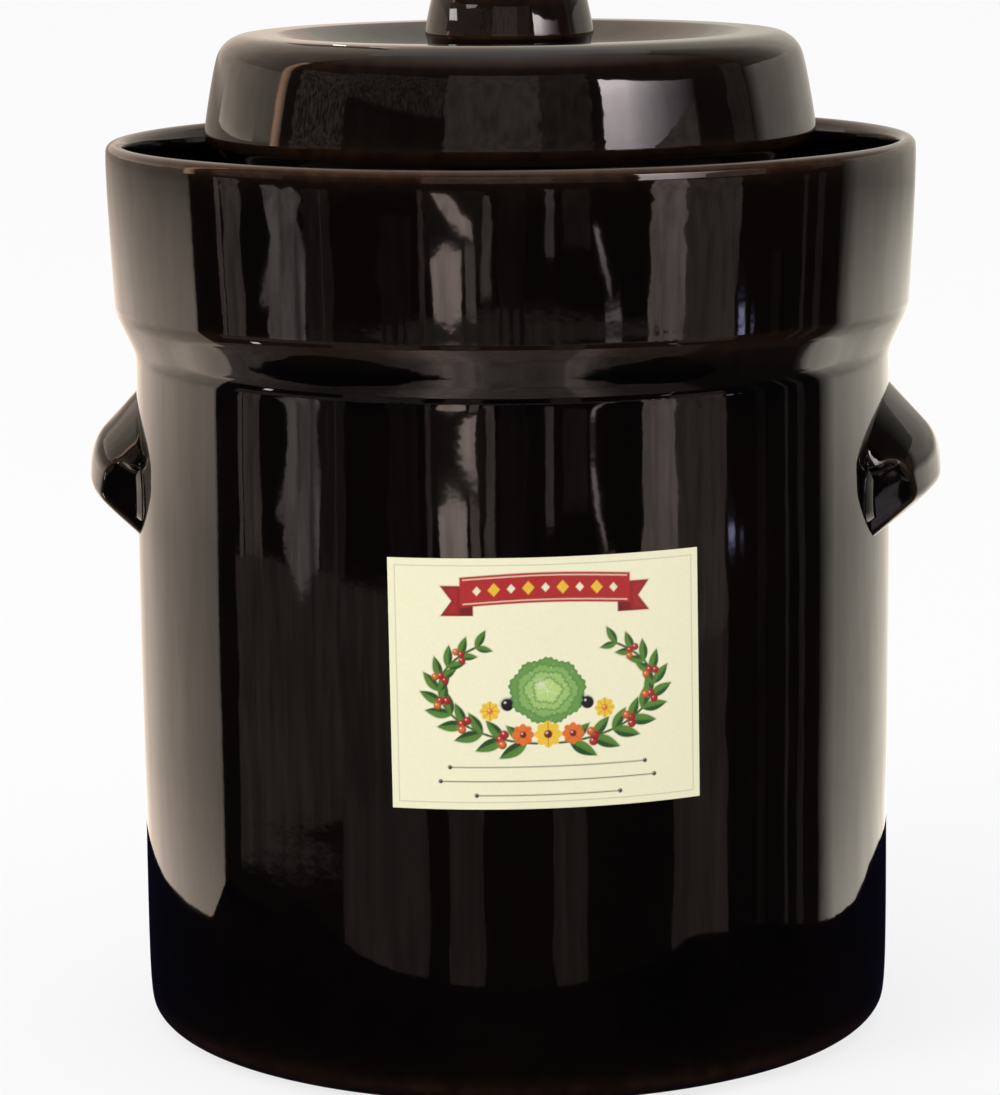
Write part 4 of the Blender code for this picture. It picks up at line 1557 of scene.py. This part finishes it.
THING_RADIUS = ROOM_RADIUS - 0.12
NEARER_RADIUS = ROOM_RADIUS - 0.16
PLANK_RADIUS = 0.60
SPARK_RADIUS = 0.06
SCREEN_RADIUS = 0.075
SHADE_RADIUS = 0.25
PAINTED_REFLECTIONS = (
    ("curtain", THING_RADIUS, 0.85, GREY, 0.5, (
        (-71.5, 0.12), (-70.0, -0.02), (-68.5, -0.05), (-70.5, -0.09), (-74.0, -0.12),
        (-70.0, -0.13), (-71.5, -0.15), (-65.0, -0.19), (-58.5, -0.16), (-57.5, -0.08),
        (-60.0, -0.03), (-58.0, 0.03), (-61.5, 0.12), (-64.5, 0.08), (-67.0, 0.13),
    )),
    ("window_low", THING_RADIUS, 3.3, DIM, 0.25, (
        (-22.0, -0.10), (-21.2, -0.17), (-16.5, -0.185), (-13.6, -0.175), (-13.4, -0.095),
        (-16.0, -0.085), (-18.5, -0.082),
    )),
    ("window_high", THING_RADIUS, 3.3, DIM, 0.25, (
        (-21.5, 0.08), (-17.5, 0.07), (-15.2, 0.03), (-13.5, -0.02), (-11.0, -0.045),
        (-10.2, -0.075), (-13.8, -0.062), (-17.2, -0.04), (-19.6, 0.01),
    )),
    ("window_right", THING_RADIUS, 1.1, DIM, 0.25, (
        (-12.6, -0.08), (-12.2, -0.175), (-9.5, -0.18), (-9.9, -0.09),
    )),
    ("crack_high", THING_RADIUS, 2.2, GREY, 0.4, (
        (22.0, -0.06), (24.2, -0.115), (26.6, -0.15), (27.4, -0.15), (25.4, -0.11),
        (23.4, -0.062),
    )),
    ("crack_low", THING_RADIUS, 2.2, GREY, 0.0, (
        (25.2, -0.165), (25.5, -0.172), (30.2, -0.17), (29.2, -0.158),
    )),
    ("spark_right", THING_RADIUS, 6.0, PALE_BLUE, 0.0, (
        (64.8, -0.136), (65.2, -0.150), (67.4, -0.149), (67.0, -0.135),
    )),
    ("spark_small", THING_RADIUS, 3.0, PALE_BLUE, 0.0, span(69.2, 70.5, -0.149, -0.144)),
    ("window_cornice", NEARER_RADIUS, 0.06, DIM, 0.0, (
        (34.0, 1.12), (37.0, 1.075), (41.0, 1.06), (45.0, 1.035), (49.0, 1.00), (53.0, 0.975),
        (58.0, 0.955), (66.0, 0.91), (76.0, 0.89), (76.0, 1.30), (34.0, 1.30),
    )),
    ("chair_by_window", NEARER_RADIUS, 0.50, DIM, 0.2, (
        (53.0, 0.26), (53.5, 0.50), (57.0, 0.60), (60.0, 0.66), (66.0, 0.72), (73.0, 0.745),
        (72.5, 0.26),
    )),
    # A glowing card that paints a white glint on the left handle's trimmed end.
    ("left_spark", THING_RADIUS, 9.0, WHITE, 0.0, span(-80.5, -77.5, -0.66, -0.54)),
    ("right_patch", THING_RADIUS, 1.4, GREY, 0.25, (
        (44.2, -0.50), (46.8, -0.50), (48.2, -0.585), (46.0, -0.585),
    )),
    ("right_patch_low", THING_RADIUS, 0.60, COOL, 0.25, (
        (47.3, -0.645), (48.7, -0.645), (50.9, -0.80), (49.7, -0.80),
    )),
    # Two small glowing cards that paint the white glints on the knob. They are not lamps.
    ("knob_spark", SPARK_RADIUS, 8.0, WHITE, 0.0, (
        (-78.5, 0.3425), (-75.5, 0.3375), (-63.0, 0.3385), (-67.0, 0.3440),
    )),
    ("knob_spark_high", SPARK_RADIUS, 4.0, WHITE, 0.3, (
        (-54.5, 0.3485), (-52.0, 0.3455), (-41.0, 0.3470), (-38.0, 0.3495),
    )),
    ("knob_spark_screen", SCREEN_RADIUS, 0.25, DIM, 0.0, span(-82.0, -34.0, 0.335, 0.352)),
    # A dim card that takes the window's painted reflection off the right handle.
    ("window_shade", SHADE_RADIUS, 0.022, DIM, 0.0, span(56.5, 63.5, 0.240, 0.266)),
)
PLANK_ACROSS = ((-93.6, 1.0), (-92.2, 3.2), (-90.8, 2.6), (-88.4, 0.5))

for name, radius, level, tint, mottle, outline in PAINTED_REFLECTIONS:
    places = [on_card(angle, height, radius) for angle, height in outline]
    outline_card(name, places, level, tint, mottle)
# A glowing plank edge that paints a warm streak of reflection on the lid.
plank = upright(((0.27, 1.0), (0.70, 1.0)), PLANK_RADIUS)
curved_card("plank_edge", PLANK_ACROSS, plank, TAN, 0.15)
print("things in the room:", len(PAINTED_REFLECTIONS) + 1)

# %% [markdown]
# The table is a black card that only mirrored rays see: a painted dark reflection under the
# crock, where the camera sees the pale floor. Its edge shows in the foot of the crock, and again
# in the sloped shoulder, as two long dark lenses, whose shape gives the table's edge all the way
# round. Below the table lies the room's brown floor, a painted reflection too. The sweep behind,
# also seen only in reflections, is a tall curved sheet, a little brighter at some heights than at
# others, so its glow changes with the height. It comes less far forward at its foot, and it fades
# in at the side where it starts. A small brighter sheet before it paints a brighter reflection on
# the lower left of the lid.

# %% Painted reflections of a table, a lower floor and a sweep
TABLE_HEIGHT = 0.0003
TABLE_REFLECTION_EDGE = (
    (-100, 0.281), (-88, 0.281), (-86.5, 0.285), (-84.8, 0.335),
    (-83.7, 0.3517), (-81, 0.3454), (-78.3, 0.3404), (-73.7, 0.3357),
    (-68.7, 0.332), (-63, 0.341), (-57.2, 0.355), (-52.8, 0.3465), (-49, 0.324), (-44.9, 0.309),
    (-40.6, 0.300), (-36.6, 0.289), (-32.6, 0.2825), (-28.5, 0.2768), (-24.6, 0.2729),
    (-20.7, 0.2705), (-18.6, 0.2691), (-12, 0.262), (10, 0.262), (20.5, 0.2715), (24, 0.2752),
    (27.4, 0.278), (32.1, 0.286), (37.4, 0.293), (41.6, 0.305), (46.5, 0.3115), (50.9, 0.307),
    (55.3, 0.3053), (61.7, 0.3077), (70, 0.295), (80, 0.275), (91, 0.265), (103, 0.267),
    (112, 0.285), (118, 0.300), (128, 0.310), (140, 0.310), (180, 0.330), (-140, 0.310),
    (-125, 0.295), (-116, 0.285),
)
FLOOR_ACROSS = (
    (-112, 0.50), (-60, 0.15), (-43, 0.22), (-37, 0.44), (-30, 0.75), (-25, 1.35), (-16, 1.25),
    (-13, 0.80), (-8, 0.60), (0, 0.54), (12, 0.43), (18, 0.50), (20, 0.95), (25, 0.90),
    (27, 0.60), (31, 0.40), (35, 0.26), (44, 0.22), (56, 0.20), (61, 0.05), (104, 0.04),
    (112, 0.45), (118, 0.50),
)
SWEEP_RADIUS = 0.62
SWEEP_FOOT = -0.11
SWEEP_SPLIT = 0.46
SWEEP_UP_TO = 1.40
SWEEP_MOTTLE = 0.08
FOOT_LEVELS = ((-0.35, 1.60), (-0.17, 1.45), (SWEEP_FOOT, 1.80))
LOW_LEVELS = (
    (SWEEP_FOOT, 1.80), (-0.09, 2.00), (-0.07, 1.72), (-0.055, 1.50), (-0.04, 1.34), (0.0, 1.25),
    (0.08, 1.12), (0.15, 1.55),
)
LEFT_LEVELS = LOW_LEVELS + (
    (0.22, 0.68), (0.25, 0.42), (0.31, 0.42), (0.34, 0.85), (SWEEP_SPLIT, 0.85),
)
RIGHT_LEVELS = LOW_LEVELS + ((0.22, 0.52), (0.31, 0.72), (0.36, 0.70), (SWEEP_SPLIT, 0.82))
GLOW_RADIUS = 0.60
GLOW_ACROSS = ((-134, 1.0), (-104, 1.0))
GLOW_LEVELS = ((0.309, 1.40), (0.33, 1.05), (0.37, 0.86))


def table_reflection_outline():
    """The table's edge with a place every two degrees, so that it bends evenly."""
    angles, radii = np.array(TABLE_REFLECTION_EDGE).T
    fine = np.union1d(np.arange(-180.0, 180.0, 2.0), angles[angles < 180.0])
    reach = np.interp(fine, angles, radii, period=360)
    return [on_card(angle, TABLE_HEIGHT, radius) for angle, radius in zip(fine, reach)]


def make_sweep(name, foot_across, across, upper_across, tint, levels):
    """A sweep in three heights. The upper one is dim at the side, which the handles mirror."""
    parts = (
        (f"{name}_foot", foot_across, FOOT_LEVELS),
        (name, across, levels),
        (f"{name}_top", upper_across, (levels[-1], (SWEEP_UP_TO, 1.08))),
    )
    for part, sides, rows in parts:
        curved_card(part, sides, upright(rows, SWEEP_RADIUS), tint, SWEEP_MOTTLE)


# A black card that paints the dark reflection of a table. The floor under the crock stays pale.
outline_card("table", table_reflection_outline(), 0.012, BLUE)
floor_profile = [(0.2, ROOM_FLOOR, 1.0), (ROOM_RADIUS, ROOM_FLOOR, 1.0)]
curved_card("room_floor", FLOOR_ACROSS, floor_profile, DIM, 0.25)
make_sweep(
    "sweep_left",
    ((-180, 1.0), (-99.0, 1.0), (-98.0, 0.4)),
    ((-180, 1.0), (-92.5, 1.0), (-91.5, 0.4)),
    ((-180, 1.0), (-140, 1.0), (-120, 0.75), (-91.5, 0.55)),
    WARM_SWEEP,
    LEFT_LEVELS,
)
# A brighter sheet that paints a brighter reflection on the lid's lower left. It lights nothing.
glow = upright(GLOW_LEVELS, GLOW_RADIUS)
curved_card("sweep_lid_glow", GLOW_ACROSS, glow, WARM_SWEEP, SWEEP_MOTTLE)
make_sweep(
    "sweep_right",
    ((101, 0.3), (104, 1.0), (180, 1.0)),
    ((96, 0.05), (104, 1.0), (180, 1.0)),
    ((96, 0.10), (110, 0.30), (125, 0.50), (140, 1.0), (180, 1.0)),
    COOL_SWEEP,
    RIGHT_LEVELS,
)
print("kinds of card:", len(card_materials))

# %% [markdown]
# ## The picture
#
# The Standard view shows every colour as it was mixed. Blender's usual view would turn the
# white ground grey and the print dull, and a product photograph has neither.

# %% Picture settings
bpy.context.scene.view_settings.view_transform = "Standard"
print("view:", bpy.context.scene.view_settings.view_transform)
